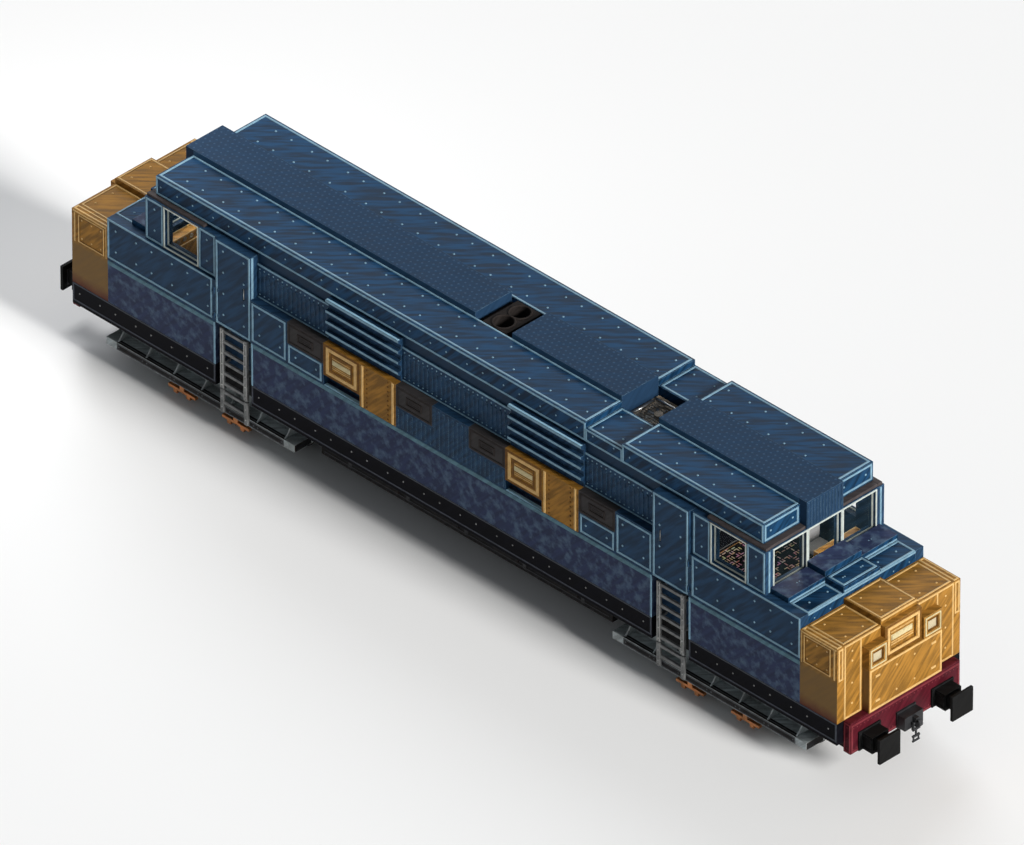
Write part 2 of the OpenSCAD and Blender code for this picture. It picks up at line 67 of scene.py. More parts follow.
# Places of the body, all read from the frame
END_X = high("sole_bars").x
BAY = END_X / 10.5
HALF_W = high("lower_panels").y
CORE_Y = high("roof_sides").y
CAB_Y = high("louvres").y
STRIP_Y = high("roof_centre").y
SOLE_Z, FLOOR_Z = low("sole_bars").z, high("sole_bars").z
WAIST_Z, DECK_Z = high("lower_panels").z, low("ribbed_panels").z
EAVES_Z, ROOF_Z = high("louvres").z, low("roof_sides").z
SLAB_Z, TOP_Z = high("roof_sides").z, high("roof_centre").z
NOSE_Z = high("headcode_boxes").z
PLATE_X, PLATE_Y = high("nose_plates").x, high("nose_plates").y
CODE_X, CODE_Y = high("headcode_boxes").x, high("headcode_boxes").y
BEAM_X, BEAM_Y, BEAM_Z = high("buffer_beams").x, high("buffer_beams").y, low("buffer_beams").z
CAB_X = high("roof_centre").x
ROOF_END = high("roof_sides").x
LINE = BAY / 16
LAMP_Z = WAIST_Z + 0.25
BOGIE_X = 0.5 * (low("bogie_frame_front").x + high("bogie_frame_front").x)

SINK = 0.002        # how far a trim piece is let into the surface under it
ENDS = SIDES = (1, -1)
ENDS_BY_NAME = {"front": 1, "rear": -1}
FACE_AXES = {       # rows: the world directions of along, up and outwards
    "side": ((1, 0, 0), (0, 0, 1), (0, 1, 0)),
    "end": ((0, 1, 0), (0, 0, 1), (1, 0, 0)),
    "top": ((1, 0, 0), (0, 1, 0), (0, 0, 1)),
}


# ---------------------------------------------------------------- shapes

def lay(part, face, end=1, side=1):
    """Turn a flat part's (along, up, outwards) points onto a side, an end or a top.

    A mirrored place turns its faces round, so that they still look outwards.
    """
    points, faces = part
    turn = np.array(FACE_AXES[face], float) * (end, side, 1)
    if np.linalg.det(turn) < 0:
        faces = [f[:, ::-1] for f in faces]
    return points @ turn, faces


def both(part, face, ends=ENDS, sides=SIDES):
    """The same flat part at each of the given ends and sides."""
    return [lay(part, face, e, s) for e in ends for s in sides]


def on_sides(part):
    """A part made for the whole of a side, on both sides."""
    return both(part, "side", ends=(1,))


def on_quarters(part):
    """A part made for the front half of a side, on both halves of both sides."""
    return both(part, "side")


def on_ends(part):
    """A part made for the whole of an end, on both ends."""
    return both(part, "end", sides=(1,))


def on_corners(part):
    """A part made for the left half of an end, on both halves of both ends."""
    return both(part, "end")


def net(rows, columns, close_rows=False, close_columns=False):
    """The quads of a grid of points numbered row by row; a closed way joins its two ends."""
    i, j = np.meshgrid(np.arange(rows - (not close_rows)),
                       np.arange(columns - (not close_columns)), indexing="ij")
    below, right = (i + 1) % rows, (j + 1) % columns
    return np.stack([i * columns + j, below * columns + j,
                     below * columns + right, i * columns + right], 2).reshape(-1, 4)


def copies(faces, count, step):
    """The same faces for each of count copies that have step points."""
    shift = step * np.arange(count)[:, None, None]
    return (faces[None] + shift).reshape(-1, faces.shape[1])


OTHER_WAY = [0, 3, 2, 1]        # the order that turns a quad over
BOX = np.array([[3, 2, 1, 0], [4, 5, 6, 7], [0, 1, 5, 4], [1, 2, 6, 5], [2, 3, 7, 6], [3, 0, 4, 7]])


def bars(rects, base, rise, slope=0.5):
    """Low bars on a flat face.

    Each row of rects is (u0, u1, v0, v1). The top is the same rectangle drawn in by
    slope times the rise, so the four flanks lean inwards.
    """
    r = np.atleast_2d(np.asarray(rects, float))
    inset = np.minimum(slope * rise, 0.4 * np.minimum(r[:, 1] - r[:, 0], r[:, 3] - r[:, 2]))
    points = np.empty((len(r), 2, 4, 3))
    points[..., 0], points[..., 1] = r[:, None, [0, 1, 1, 0]], r[:, None, [2, 2, 3, 3]]
    points[:, 1, :, 0] += inset[:, None] * (1, -1, -1, 1)
    points[:, 1, :, 1] += inset[:, None] * (1, 1, -1, -1)
    points[:, 0, :, 2], points[:, 1, :, 2] = base - SINK, base + rise
    return points.reshape(-1, 3), [copies(BOX, len(r), 8)]


def borders(rects, width, base, rise, slope=0.5):
    """Mitred frames: a low trapezium profile carried round each rectangle (u0, u1, v0, v1).

    The profile goes up the outer flank, across the top and down the inner flank.
    """
    r = np.atleast_2d(np.asarray(rects, float))
    lean = min(slope * rise, 0.35 * width)
    across = np.array([0.0, lean, width - lean, width])[:, None]
    points = np.empty((len(r), 4, 4, 3))
    points[..., 0] = r[:, None, [0, 1, 1, 0]] + across * (1, -1, -1, 1)
    points[..., 1] = r[:, None, [2, 2, 3, 3]] + across * (1, 1, -1, -1)
    points[..., 2] = base + np.array([-SINK, rise, rise, -SINK])[:, None]
    return points.reshape(-1, 3), [copies(net(4, 4, True, True)[:, OTHER_WAY], len(r), 16)]


def domes(centres, base, radius, rise, around=8):
    """Rivet heads: a quarter ellipse turned about the outward axis at each centre (u, v)."""
    c = np.atleast_2d(np.asarray(centres, float))
    a = np.arange(around) * 2 * np.pi / around
    lift = np.array([-SINK / rise, 0.55, 0.9])
    reach = np.array([1.0, 0.86, 0.48])
    ring = np.stack([np.outer(reach, np.cos(a)) * radius, np.outer(reach, np.sin(a)) * radius,
                     np.repeat(lift[:, None] * rise, around, 1)], 2).reshape(-1, 3)
    one = np.concatenate([ring, [[0, 0, rise], [0, 0, -SINK]]])
    points = (one[None] + np.insert(c, 2, base, axis=1)[:, None]).reshape(-1, 3)
    k = np.arange(around)
    n = (k + 1) % around
    crown = np.stack([k + 2 * around, n + 2 * around, np.full(around, 3 * around)], 1)
    foot = np.stack([n, k, np.full(around, 3 * around + 1)], 1)
    quads = net(3, around, close_columns=True)[:, OTHER_WAY]
    return points, [copies(quads, len(c), len(one)),
                    copies(np.concatenate([crown, foot]), len(c), len(one))]


def grid(us, vs):
    """Every pair of two lists of places."""
    a, b = np.meshgrid(np.asarray(us, float), np.asarray(vs, float), indexing="ij")
    return np.stack([a.ravel(), b.ravel()], 1)


def riveted(us, vs, base, radius):
    """Rivet heads, half as high as their radius, at every pair of two lists of places."""
    return domes(grid(us, vs), base, radius, 0.5 * radius)


def turned(profile, centre, axis="z", around=32, start=0.0, sweep=2 * math.pi):
    """A closed profile of (radius, along) points turned about an axis through centre.

    A full turn joins its ends; a part turn is closed by its two end faces.
    """
    p = np.asarray(profile, float)
    full = abs(sweep - 2 * math.pi) < 1e-6
    a = start + sweep * np.arange(around + (0 if full else 1)) / around
    ring = np.stack([np.outer(np.cos(a), p[:, 0]), np.outer(np.sin(a), p[:, 0]),
                     np.repeat(p[None, :, 1], len(a), 0)], 2)
    order = {"z": (0, 1, 2), "x": (2, 0, 1), "y": (1, 2, 0)}[axis]
    points = ring.reshape(-1, 3)[:, order] + np.asarray(centre, float)
    m = len(p)
    faces = [net(len(a), m, close_rows=full, close_columns=True)]
    if not full:
        faces += [np.arange(m)[None, ::-1], (around * m + np.arange(m))[None]]
    return points, faces


def tube(path, radius, around=10):
    """A round rod: a circle carried along a path, square to it, and closed at both ends."""
    p = np.asarray(path, float)
    along = np.gradient(p, axis=0)
    along /= np.linalg.norm(along, axis=1)[:, None]
    ref = np.where(np.abs(along[:, 2:3]) > 0.9, [[1.0, 0, 0]], [[0, 0, 1.0]])
    right = np.cross(along, ref)
    right /= np.linalg.norm(right, axis=1)[:, None]
    up = np.cross(right, along)
    a = np.arange(around) * 2 * np.pi / around
    ring = p[:, None] + radius * (np.cos(a)[None, :, None] * right[:, None]
                                  + np.sin(a)[None, :, None] * up[:, None])
    quads = net(len(p), around, close_columns=True)
    last = (len(p) - 1) * around
    return ring.reshape(-1, 3), [quads[:, ::-1], np.arange(around)[None],
                                 (last + np.arange(around))[None, ::-1]]


def cushion(centre, size, crown, steps=20):
    """A crowned pad: a box whose corners are rounded and whose faces swell towards their middles.

    The points of a cube's grid are drawn towards a superellipsoid of the eighth power, then
    each face moves out by crown times one minus the square of both distances from its middle.
    """
    t = np.sin(np.linspace(-1, 1, steps) * np.pi / 2)
    a, b = np.meshgrid(t, t, indexing="ij")
    points, faces, start, quad = [], [], 0, net(steps, steps)
    for axis in range(3):
        for sign in (1, -1):
            q = np.empty(a.shape + (3,))
            q[..., axis] = sign
            q[..., (axis + 1) % 3], q[..., (axis + 2) % 3] = a, b
            round_to = np.sum(np.abs(q) ** 8, 2) ** (-1 / 8)
            s = q * round_to[..., None]
            swell = (1 - a ** 2) * (1 - b ** 2) * crown[axis]
            s = s * (np.asarray(size) / 2)
            s[..., axis] += sign * swell
            points.append(s.reshape(-1, 3))
            faces.append((quad if sign > 0 else quad[:, ::-1]) + start)
            start += steps * steps
    return np.concatenate(points) + np.asarray(centre, float), faces


def joined(parts):
    """Several parts as one, with their face numbers moved on."""
    points, faces, start = [], [], 0
    for p, fs in parts:
        points.append(p)
        faces += [f + start for f in fs]
        start += len(p)
    return np.concatenate(points), faces


def shifted(part, by):
    """A part moved by a vector."""
    return part[0] + np.asarray(by, float), part[1]


def block(x, y, z, bevel=0.004):
    """A box between two corners with its four upper edges drawn in by the bevel."""
    points, faces = bars([[x[0], x[1], y[0], y[1]]], 0, 1, 0)
    points = points.reshape(2, 4, 3)
    points[0, :, 2], points[1, :, 2] = z
    points[1, :, :2] += bevel * np.array([[1, 1], [-1, 1], [-1, -1], [1, -1]])
    return points.reshape(-1, 3), faces


def inside(u0, u1, v0, v1, gap):
    """The rectangle that is a gap smaller all round."""
    return [u0 + gap, u1 - gap, v0 + gap, v1 - gap]


def piece(name, parts, finishes, body="root", smooth=False, pick=None, merge=False):
    """One mesh object at the origin from its parts, riding on a body.

    Its finishes are materials or their keys, and pick holds the finish of each face.
    """
    points, faces = joined(parts)
    mesh = bpy.data.meshes.new(name)
    mesh.from_pydata(points.tolist(), [], [f for group in faces for f in group.tolist()])
    for m in (finishes if isinstance(finishes, list) else [finishes]):
        mesh.materials.append(finish(m) if isinstance(m, str) else m)
    if pick is not None:
        mesh.polygons.foreach_set("material_index", np.asarray(pick, np.int32))
    mesh.polygons.foreach_set("use_smooth", np.full(len(mesh.polygons), smooth))
    if merge:
        b = bmesh.new()
        b.from_mesh(mesh)
        bmesh.ops.remove_doubles(b, verts=b.verts, dist=1e-5)
        bmesh.ops.recalc_face_normals(b, faces=b.faces)
        b.to_mesh(mesh)
        b.free()
    mesh.update()
    obj = bpy.data.objects.new(name, mesh)
    bpy.context.scene.collection.objects.link(obj)
    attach(obj, body)
    return obj


# ---------------------------------------------------------------- finishes

class Graph:
    """A short way to write the nodes of a material, which is given or made under a name."""

    def __init__(self, material):
        if isinstance(material, str):
            material = bpy.data.materials.new(material)
            material.use_nodes = True
        self.material, self.tree = material, material.node_tree
        self.shader = self.tree.nodes["Principled BSDF"]

    def feed(self, socket, value):
        """Link a socket, or give it a plain value."""
        if isinstance(value, bpy.types.NodeSocket):
            self.tree.links.new(value, socket)
        else:
            socket.default_value = value

    def add(self, kind, inputs=None, **settings):
        node = self.tree.nodes.new(kind)
        for key, value in settings.items():
            setattr(node, key, value)
        for key, value in (inputs or {}).items():
            self.feed(node.inputs[key], value)
        return node

    def set(self, **values):
        for key, value in values.items():
            self.feed(self.shader.inputs[key.replace("_", " ")], value)

    def place(self, output="Object"):
        return self.add("ShaderNodeTexCoord").outputs[output]

    def split(self, vector):
        return self.add("ShaderNodeSeparateXYZ", {0: vector}).outputs

    def math(self, operation, a, b=0.0):
        return self.add("ShaderNodeMath", {0: a, 1: b}, operation=operation).outputs[0]

    def facing(self, way):
        """1 where a normal's part along one axis is large, either way."""
        return self.math("GREATER_THAN", self.math("ABSOLUTE", way), 0.7)

    def ramp(self, value, low_end, high_end, to_low=0.0, to_high=1.0):
        return self.add("ShaderNodeMapRange", {
            "Value": value, "From Min": low_end, "From Max": high_end,
            "To Min": to_low, "To Max": to_high}).outputs[0]

    def blend(self, factor, a, b, mode="MIX"):
        tones = {key: (*tone, 1) if isinstance(tone, tuple) else tone for key, tone in ((6, a), (7, b))}
        return self.add("ShaderNodeMix", {0: factor, **tones}, data_type="RGBA",
                        blend_type=mode).outputs[2]

    def noise(self, vector, scale, detail=2.0, roughness=0.5):
        return self.add("ShaderNodeTexNoise", {
            "Vector": vector, "Scale": scale, "Detail": detail,
            "Roughness": roughness}).outputs["Fac"]

    def bump(self, height, strength, distance=0.004, **more):
        return self.add("ShaderNodeBump", {"Strength": strength, "Distance": distance,
                                           "Height": height, **more}).outputs[0]


def face_axes(g):
    """A place, and its flat (along, up) axes on a face.

    They run along X and Z on a side, Y and Z on an end, and X and Y on a top.
    """
    place = g.place()
    xyz, way = g.split(place), g.split(g.place("Normal"))
    along = g.add("ShaderNodeMix", {0: g.facing(way[0]), 2: xyz[0], 3: xyz[1]}).outputs[0]
    up = g.add("ShaderNodeMix", {0: g.facing(way[2]), 2: xyz[2], 3: xyz[1]}).outputs[0]
    return place, g.add("ShaderNodeCombineXYZ", {0: along, 1: up}).outputs[0]


def shade(colour, k):
    """A colour k times as bright."""
    return tuple(min(1.0, c * k) for c in colour[:3])


def rubbed_and_highlit_edges(g, place, radius, amount):
    """Where the rounded normal leaves the true one, the paint turns lighter: partly rubbed paint,
    partly a painted edge highlight. A noise breaks it up.
    """
    round_edge = g.add("ShaderNodeBevel", {"Radius": radius}, samples=4).outputs[0]
    true = g.add("ShaderNodeNewGeometry").outputs["Normal"]
    flat = g.add("ShaderNodeVectorMath", {0: round_edge, 1: true}, operation="DOT_PRODUCT")
    edge = g.ramp(flat.outputs["Value"], 0.995, 0.86)
    patch = g.ramp(g.noise(place, 9.0, 3.0), 0.35, 0.62, 0.25, 1.0)
    return g.math("MULTIPLY", g.math("MULTIPLY", edge, patch), amount), round_edge


def paint(name, colour, worn, streak=0.35, cloud=0.2, roughness=0.5, metallic=0.0, wear_and_highlight=0.7,
          edge=0.012, bump=0.12, second=None, gloss=0.08, blotch=1.7, spread=(0.42, 0.68)):
    """Aged paint: slanted light and dark streaks, broad clouds, fine grain, and lighter edges that are
    partly rubbed paint and partly a painted highlight.
    """
    g = Graph(name)
    place, flat = face_axes(g)
    slanted = g.add("ShaderNodeMapping", {"Vector": flat, "Rotation": (0, 0, math.radians(45)),
                                          "Scale": (0.75, 0.09, 1.0)}, vector_type="TEXTURE")
    streaks = g.noise(slanted.outputs[0], 1.0, 2.0, 0.5)
    clouds = g.noise(place, blotch, 3.0, 0.6)
    grain = g.noise(place, 38.0, 2.0, 0.7)
    k = g.ramp(streaks, 0.38, 0.62)
    base = g.blend(k, shade(colour, 1 - streak), shade(colour, 1 + streak))
    tint = second or shade(colour, 0.75)
    base = g.blend(g.ramp(clouds, *spread, 0.0, cloud), base, tint)
    base = g.blend(g.ramp(grain, 0.35, 0.7, 0.0, 0.22), base, shade(colour, 1.7))
    if wear_and_highlight:
        wear_and_highlight_mask, round_edge = rubbed_and_highlit_edges(g, place, edge, wear_and_highlight)
        # painted edge highlight and rubbed paint: the edges turn to the lighter tone
        base = g.blend(wear_and_highlight_mask, base, worn)
    g.set(Base_Color=base, Metallic=metallic, Specular_IOR_Level=gloss,
          Roughness=g.ramp(g.math("ADD", grain, streaks), 0.6, 1.4, roughness - 0.08, roughness + 0.14))
    height = g.math("ADD", g.math("MULTIPLY", grain, 0.4), streaks)
    g.set(Normal=g.bump(height, bump, 0.01, **({"Normal": round_edge} if wear_and_highlight else {})))
    return g.material


def plain_metal(name, colour, roughness=0.4, metallic=0.85, grain_scale=60.0, patchy=0.35):
    """Bare or oiled metal with fine grain and soft stains."""
    g = Graph(name)
    place = g.place()
    grain = g.noise(place, grain_scale, 3.0, 0.6)
    stain = g.noise(place, 4.0, 4.0, 0.6)
    base = g.blend(g.ramp(stain, 0.35, 0.7), shade(colour, 1 - patchy), shade(colour, 1 + patchy))
    base = g.blend(g.ramp(grain, 0.4, 0.7, 0.0, 0.25), base, shade(colour, 1.6))
    g.set(Base_Color=base, Metallic=metallic,
          Roughness=g.ramp(stain, 0.3, 0.7, roughness - 0.1, roughness + 0.2),
          Normal=g.bump(grain, 0.2))
    return g.material


# ---------------------------------------------------------------- settings

class LocoTrim(bpy.types.PropertyGroup):
    """Sizes of the trim."""
    bead: FloatProperty(name="Bead width", description="Width of the raised edge beads",
                        default=0.046, min=0.01, max=0.1, unit="LENGTH")
    rise: FloatProperty(name="Bead rise", description="How far the beads stand out", default=0.012,
                        min=0.002, max=0.03, unit="LENGTH")
    rivet: FloatProperty(name="Rivet radius", description="Radius of the large rivet heads",
                         default=0.026, min=0.01, max=0.05, unit="LENGTH")
    stud: FloatProperty(name="Roof stud radius", description="Radius of the walkway's studs",
                        default=0.030, min=0.005, max=0.05, unit="LENGTH")
    ribs: IntProperty(name="Ribs in a bay", description="Upright ribs in each ribbed bay",
                      default=8, min=2, max=20)
    slant: FloatProperty(name="Light height", description="Height of the main light",
                         default=math.radians(25), min=0.1, max=1.5, subtype="ANGLE")


def colour_property(label, default):
    return FloatVectorProperty(name=label, description="Colour of the " + label.lower(),
                               default=default, size=3, min=0.0, max=1.0, subtype="COLOR")


class LocoColours(bpy.types.PropertyGroup):
    """Colours of the finishes."""
    blue: colour_property("Body blue", (0.012, 0.036, 0.076))
    lower: colour_property("Lower panels", (0.020, 0.029, 0.068))
    line: colour_property("Edge beads", (0.155, 0.265, 0.345))
    yellow: colour_property("End yellow", (0.235, 0.112, 0.019))
    gold: colour_property("Yellow beads", (0.50, 0.315, 0.12))
    cream: colour_property("Slats and frames", (0.46, 0.39, 0.22))
    red: colour_property("Buffer beam", (0.060, 0.006, 0.011))
    dark: colour_property("Black paint", (0.004, 0.004, 0.006))
    # a light grey: partly the frames' own grey, partly lightened to offset the shadow under the body
    bogie: colour_property("Bogie grey", (0.36, 0.40, 0.41))
    amber: colour_property("Cab desks", (0.46, 0.235, 0.06))
    floor: colour_property("Stage floor", (0.86, 0.86, 0.86))


MATERIALS = {}


def finish(key):
    """The material of a finish, made once."""
    if key in MATERIALS:
        return MATERIALS[key]
    c = bpy.context.scene.loco_colours
    blue, line, yellow = tuple(c.blue), tuple(c.line), tuple(c.yellow)
    rust = (0.10, 0.045, 0.02)
    makers = {
        "body_blue": lambda: paint("Body blue", blue, line),
        "roof_blue": lambda: paint("Roof blue", (blue[0] * 0.5, blue[1] * 0.86, blue[2] * 0.97),
                                   line, streak=0.6),
        "walkway": lambda: paint("Walkway blue", (0.012, 0.033, 0.070), line, streak=0.12,
                                 cloud=0.3, roughness=0.6),
        # painted light: a lighter blue on the walkway's side walls, which stand in shade beside the
        # roof slabs
        "step": lambda: paint("Walkway side", (0.030, 0.080, 0.150), line, streak=0.1, wear_and_highlight=0),
        "stud": lambda: paint("Walkway stud", (0.026, 0.060, 0.112), line, streak=0.1, wear_and_highlight=0),
        "wall_blue": lambda: paint("Wall blue", shade(blue, 0.72), shade(line, 0.6), streak=0.15),
        "lower_blue": lambda: paint("Lower blue", tuple(c.lower), shade(line, 0.8), streak=0.2,
                                    cloud=1.0, second=(0.062, 0.098, 0.155), blotch=4.2,
                                    spread=(0.47, 0.66)),
        "line": lambda: paint("Edge bead", line, shade(line, 1.4), streak=0.15, wear_and_highlight=0,
                              roughness=0.36),
        # painted light: a very pale blue on ledge tops that lie in the shade of the recesses
        "pale": lambda: paint("Pale ledge", shade(line, 1.9), (0.6, 0.65, 0.7), streak=0.1, wear_and_highlight=0),
        "teal": lambda: paint("Waist strip", (0.075, 0.15, 0.19), line, streak=0.2, wear_and_highlight=0),
        "yellow": lambda: end_yellow(yellow, c),
        "gold": lambda: paint("Yellow bead", tuple(c.gold), (0.8, 0.7, 0.45), streak=0.12, wear_and_highlight=0,
                              roughness=0.35),
        # painted shadow: a dark brown for the shade round grilles, headcode boxes and nose panels, also
        # laid on the lamp rims and the edge panels' rivets
        "brown": lambda: paint("Shadow frame", (0.13, 0.056, 0.010), yellow, streak=0.2, wear_and_highlight=0),
        "cream": lambda: paint("Cream slat", tuple(c.cream), (0.8, 0.76, 0.6), streak=0.1, wear_and_highlight=0),
        "red": lambda: paint("Beam red", tuple(c.red), (0.26, 0.05, 0.06), streak=0.3,
                             second=(0.03, 0.006, 0.012)),
        "red_line": lambda: paint("Beam bead", (0.13, 0.022, 0.028), (0.3, 0.07, 0.07),
                                  streak=0.2, wear_and_highlight=0),
        "black": lambda: paint("Black paint", tuple(c.dark), (0.055, 0.06, 0.07), streak=0.3,
                               gloss=0.03),
        "black_line": lambda: paint("Sole bar bead", (0.045, 0.05, 0.062), (0.1, 0.1, 0.12),
                                    streak=0.2, wear_and_highlight=0),
        "under": lambda: paint("Underframe black", (0.014, 0.014, 0.015), rust, streak=0.4,
                               roughness=0.7, second=(0.035, 0.026, 0.018)),
        "buffer": lambda: paint("Buffer black", (0.007, 0.007, 0.007), (0.05, 0.055, 0.06),
                                streak=0.2, gloss=0.04),
        "forged": lambda: plain_metal("Forged steel", (0.030, 0.031, 0.034), 0.5, 0.6),
        "vent": lambda: paint("Vent grey", (0.036, 0.033, 0.033), (0.07, 0.06, 0.055), streak=0.2,
                              roughness=0.6),
        "vent_dark": lambda: paint("Vent frame", (0.022, 0.018, 0.017), (0.05, 0.04, 0.035),
                                   streak=0.2, wear_and_highlight=0, roughness=0.6),
        "soot": lambda: paint("Sooty casting", (0.016, 0.013, 0.012), (0.07, 0.055, 0.045),
                              streak=0.3, roughness=0.75),
        # partly the gear's own light grey and brown, partly lightened to offset the shade deep in the
        # roof recess
        "machine": lambda: paint("Cooling gear brown", (0.26, 0.20, 0.14), (0.5, 0.45, 0.36),
                                 streak=0.4, roughness=0.6, second=(0.34, 0.33, 0.31),
                                 cloud=0.8),
        "steel": lambda: plain_metal("Bright steel", (0.42, 0.42, 0.41), 0.32, 0.95),
        "engine": lambda: paint("Engine green", (0.045, 0.075, 0.05), rust, streak=0.2),
        "offwhite": lambda: paint("Window frame", (0.42, 0.46, 0.43), (0.7, 0.72, 0.68),
                                  streak=0.12, wear_and_highlight=0, roughness=0.4),
        "lintel": lambda: paint("Lintel grey", (0.05, 0.042, 0.042), (0.16, 0.14, 0.13),
                                streak=0.2, wear_and_highlight=0.4, roughness=0.6),
        "cab_floor": flecked_floor,
        "amber": lambda: paint("Desk amber", tuple(c.amber), (0.5, 0.33, 0.14), streak=0.3,
                               roughness=0.38),
        "amber_line": lambda: paint("Desk edge", (0.62, 0.46, 0.22), (0.8, 0.7, 0.5),
                                    streak=0.1, wear_and_highlight=0),
        "ladder": lambda: paint("Ladder grey", (0.155, 0.158, 0.158), (0.34, 0.34, 0.33),
                                streak=0.25, roughness=0.5, second=(0.05, 0.048, 0.045)),
        # bogie grey: partly the frames' own colour, partly painted light against the body's shadow
        "bogie": lambda: paint("Bogie grey", tuple(c.bogie), (0.40, 0.39, 0.37), streak=0.3,
                               roughness=0.6, second=(0.10, 0.095, 0.085), cloud=0.6),
        "bogie_line": lambda: paint("Bogie lip", (0.075, 0.08, 0.085), (0.25, 0.25, 0.25),
                                    streak=0.2, wear_and_highlight=0),
        "copper": lambda: plain_metal("Copper bracket", (0.55, 0.23, 0.09), 0.45, 0.75),
        "wheel": lambda: plain_metal("Wheel steel", (0.085, 0.08, 0.075), 0.5, 0.7, 30.0),
    }
    MATERIALS[key] = makers[key]()
    return MATERIALS[key]


def end_yellow(yellow, c):
    """End yellow that turns to a flat khaki on the lower flanks and to dark red at their foot."""
    material = paint("End yellow", yellow, tuple(c.gold), streak=0.38, cloud=0.35,
                     second=shade(yellow, 0.6))
    g = Graph(material)
    place = g.place()
    along, _, height = g.split(place)
    at_end = g.math("GREATER_THAN", g.math("ABSOLUTE", along), END_X - 1.01 * BAY)
    flank = g.math("MULTIPLY", g.facing(g.split(g.place("Normal"))[1]), at_end)
    noisy = g.math("ADD", height, g.math("MULTIPLY", g.noise(place, 5.0, 3.0), 0.12))
    lower = g.math("MULTIPLY", flank, g.ramp(noisy, WAIST_Z + 0.13, WAIST_Z - 0.02, 0.0, 0.85))
    foot = g.math("MULTIPLY", flank, g.ramp(noisy, FLOOR_Z + 0.34, FLOOR_Z + 0.06, 0.0, 0.9))
    base = g.shader.inputs["Base Color"].links[0].from_socket
    base = g.blend(lower, base, (0.155, 0.092, 0.034))
    base = g.blend(foot, base, (0.075, 0.014, 0.012))
    g.set(Base_Color=base)
    return material


# ---------------------------------------------------------------- operators

class LocoOperator:
    """What every operator here shares."""
    bl_options = {"REGISTER", "UNDO"}

    def execute(self, context):
        self.make(context, context.scene.loco_trim)
        return {"FINISHED"}


VIEW_CENTRE = (0.0, 0.0, 2.662)
VIEW_WIDTH = 19.876          # metres across the frame
LENS = 1000.0                # millimetres: nearly parallel rays
VIEW_TURN, VIEW_RISE = math.radians(45.0), math.radians(35.264)


class LOCO_OT_stage(LocoOperator, bpy.types.Operator):
    """Make the camera, the pale floor and the lights"""
    bl_idname = "loco.stage"
    bl_label = "Stage"

    def make(self, context, trim):
        scene = context.scene
        data = bpy.data.cameras.new("Camera")
        data.lens, data.sensor_width = LENS, 36.0
        away = VIEW_WIDTH * LENS / data.sensor_width
        data.clip_start, data.clip_end = 1.0, 4000.0
        camera = bpy.data.objects.new("Camera", data)
        scene.collection.objects.link(camera)
        back = np.array([math.sin(VIEW_TURN) * math.cos(VIEW_RISE),
                         -math.cos(VIEW_TURN) * math.cos(VIEW_RISE), math.sin(VIEW_RISE)])
        camera.location = np.array(VIEW_CENTRE) + back * away
        camera.rotation_euler = (math.pi / 2 - VIEW_RISE, 0.0, VIEW_TURN)
        scene.camera = camera
        scene.view_settings.view_transform = "Standard"

        mesh = bpy.data.meshes.new("stage_floor")
        corners = [(-1, -1), (1, -1), (1, 1), (-1, 1)]
        rings = ((200.0, 0.0), (290.0, 4.0), (3000.0, 4.0))      # a low rim hides the horizon
        mesh.from_pydata([(x * r, y * r, z) for r, z in rings for x, y in corners], [],
                         [(0, 1, 2, 3)] + net(3, 4, close_columns=True)[:, [1, 2, 3, 0]].tolist())
        floor = bpy.data.objects.new("stage_floor", mesh)
        scene.collection.objects.link(floor)
        g = Graph("Stage floor")
        g.set(Base_Color=(*scene.loco_colours.floor, 1), Roughness=0.9, Specular_IOR_Level=0.1)
        mesh.materials.append(g.material)

        def light(name, kind, energy, place, turn, **settings):
            data = bpy.data.lights.new(name, kind)
            data.energy = energy
            for key, value in settings.items():
                setattr(data, key, value)
            obj = bpy.data.objects.new(name, data)
            obj.location, obj.rotation_euler = place, turn
            scene.collection.objects.link(obj)

        upright = math.pi / 2
        light("Main light", "SUN", 5.1, (0, 0, 0), (upright - trim.slant, 0, math.radians(90)),
              angle=math.radians(14), color=(1.0, 0.985, 0.96))
        light("Fill light", "SUN", 1.1, (0, 0, 0),
              (upright - math.radians(35), 0, math.radians(228)),
              angle=math.radians(30), color=(0.95, 0.97, 1.0))
        light("Rear light", "AREA", 330.0, (-END_X - 3.0, 0, 9.5), (0, -math.radians(32), 0), size=3.0)
        for e in ENDS:
            light("Cab light", "POINT", 34.0, (e * 7.75 * BAY, 0, EAVES_Z - 0.15),
                  (0, 0, 0), shadow_soft_size=0.12, color=(1.0, 0.93, 0.8))
        world = bpy.data.worlds.new("Studio")
        world.use_nodes = True
        sky = world.node_tree.nodes["Background"].inputs
        sky[0].default_value, sky[1].default_value = (0.9, 0.95, 1.0, 1), 0.2
        scene.world = world


CAD_FINISH = {
    "body_blue": "body_blue", "roof_blue": "roof_blue", "wall_blue": "wall_blue",
    "lower_blue": "lower_blue", "nose_yellow": "yellow", "beam_red": "red",
    "black_paint": "black", "black_steel": "under", "buffer_steel": "buffer",
    "forged_steel": "forged", "vent_grey": "vent", "exhaust_steel": "soot",
    "machinery_brown": "machine", "engine_green": "engine", "cab_floor": "cab_floor",
    "desk_amber": "amber", "ladder_grey": "ladder", "bogie_grey": "bogie",
    "copper_bracket": "copper", "wheel_steel": "wheel", "seat_grey": "under",
}


def glass_material():
    """Clear, faintly blue panes with a light film of dust."""
    g = Graph("Window glass")
    dust = g.noise(g.place(), 3.0, 4.0, 0.6)
    g.set(Base_Color=(0.05, 0.08, 0.09, 1), Alpha=g.ramp(dust, 0.3, 0.8, 0.02, 0.09),
          Roughness=0.08, IOR=1.45, Specular_IOR_Level=0.12)
    return g.material


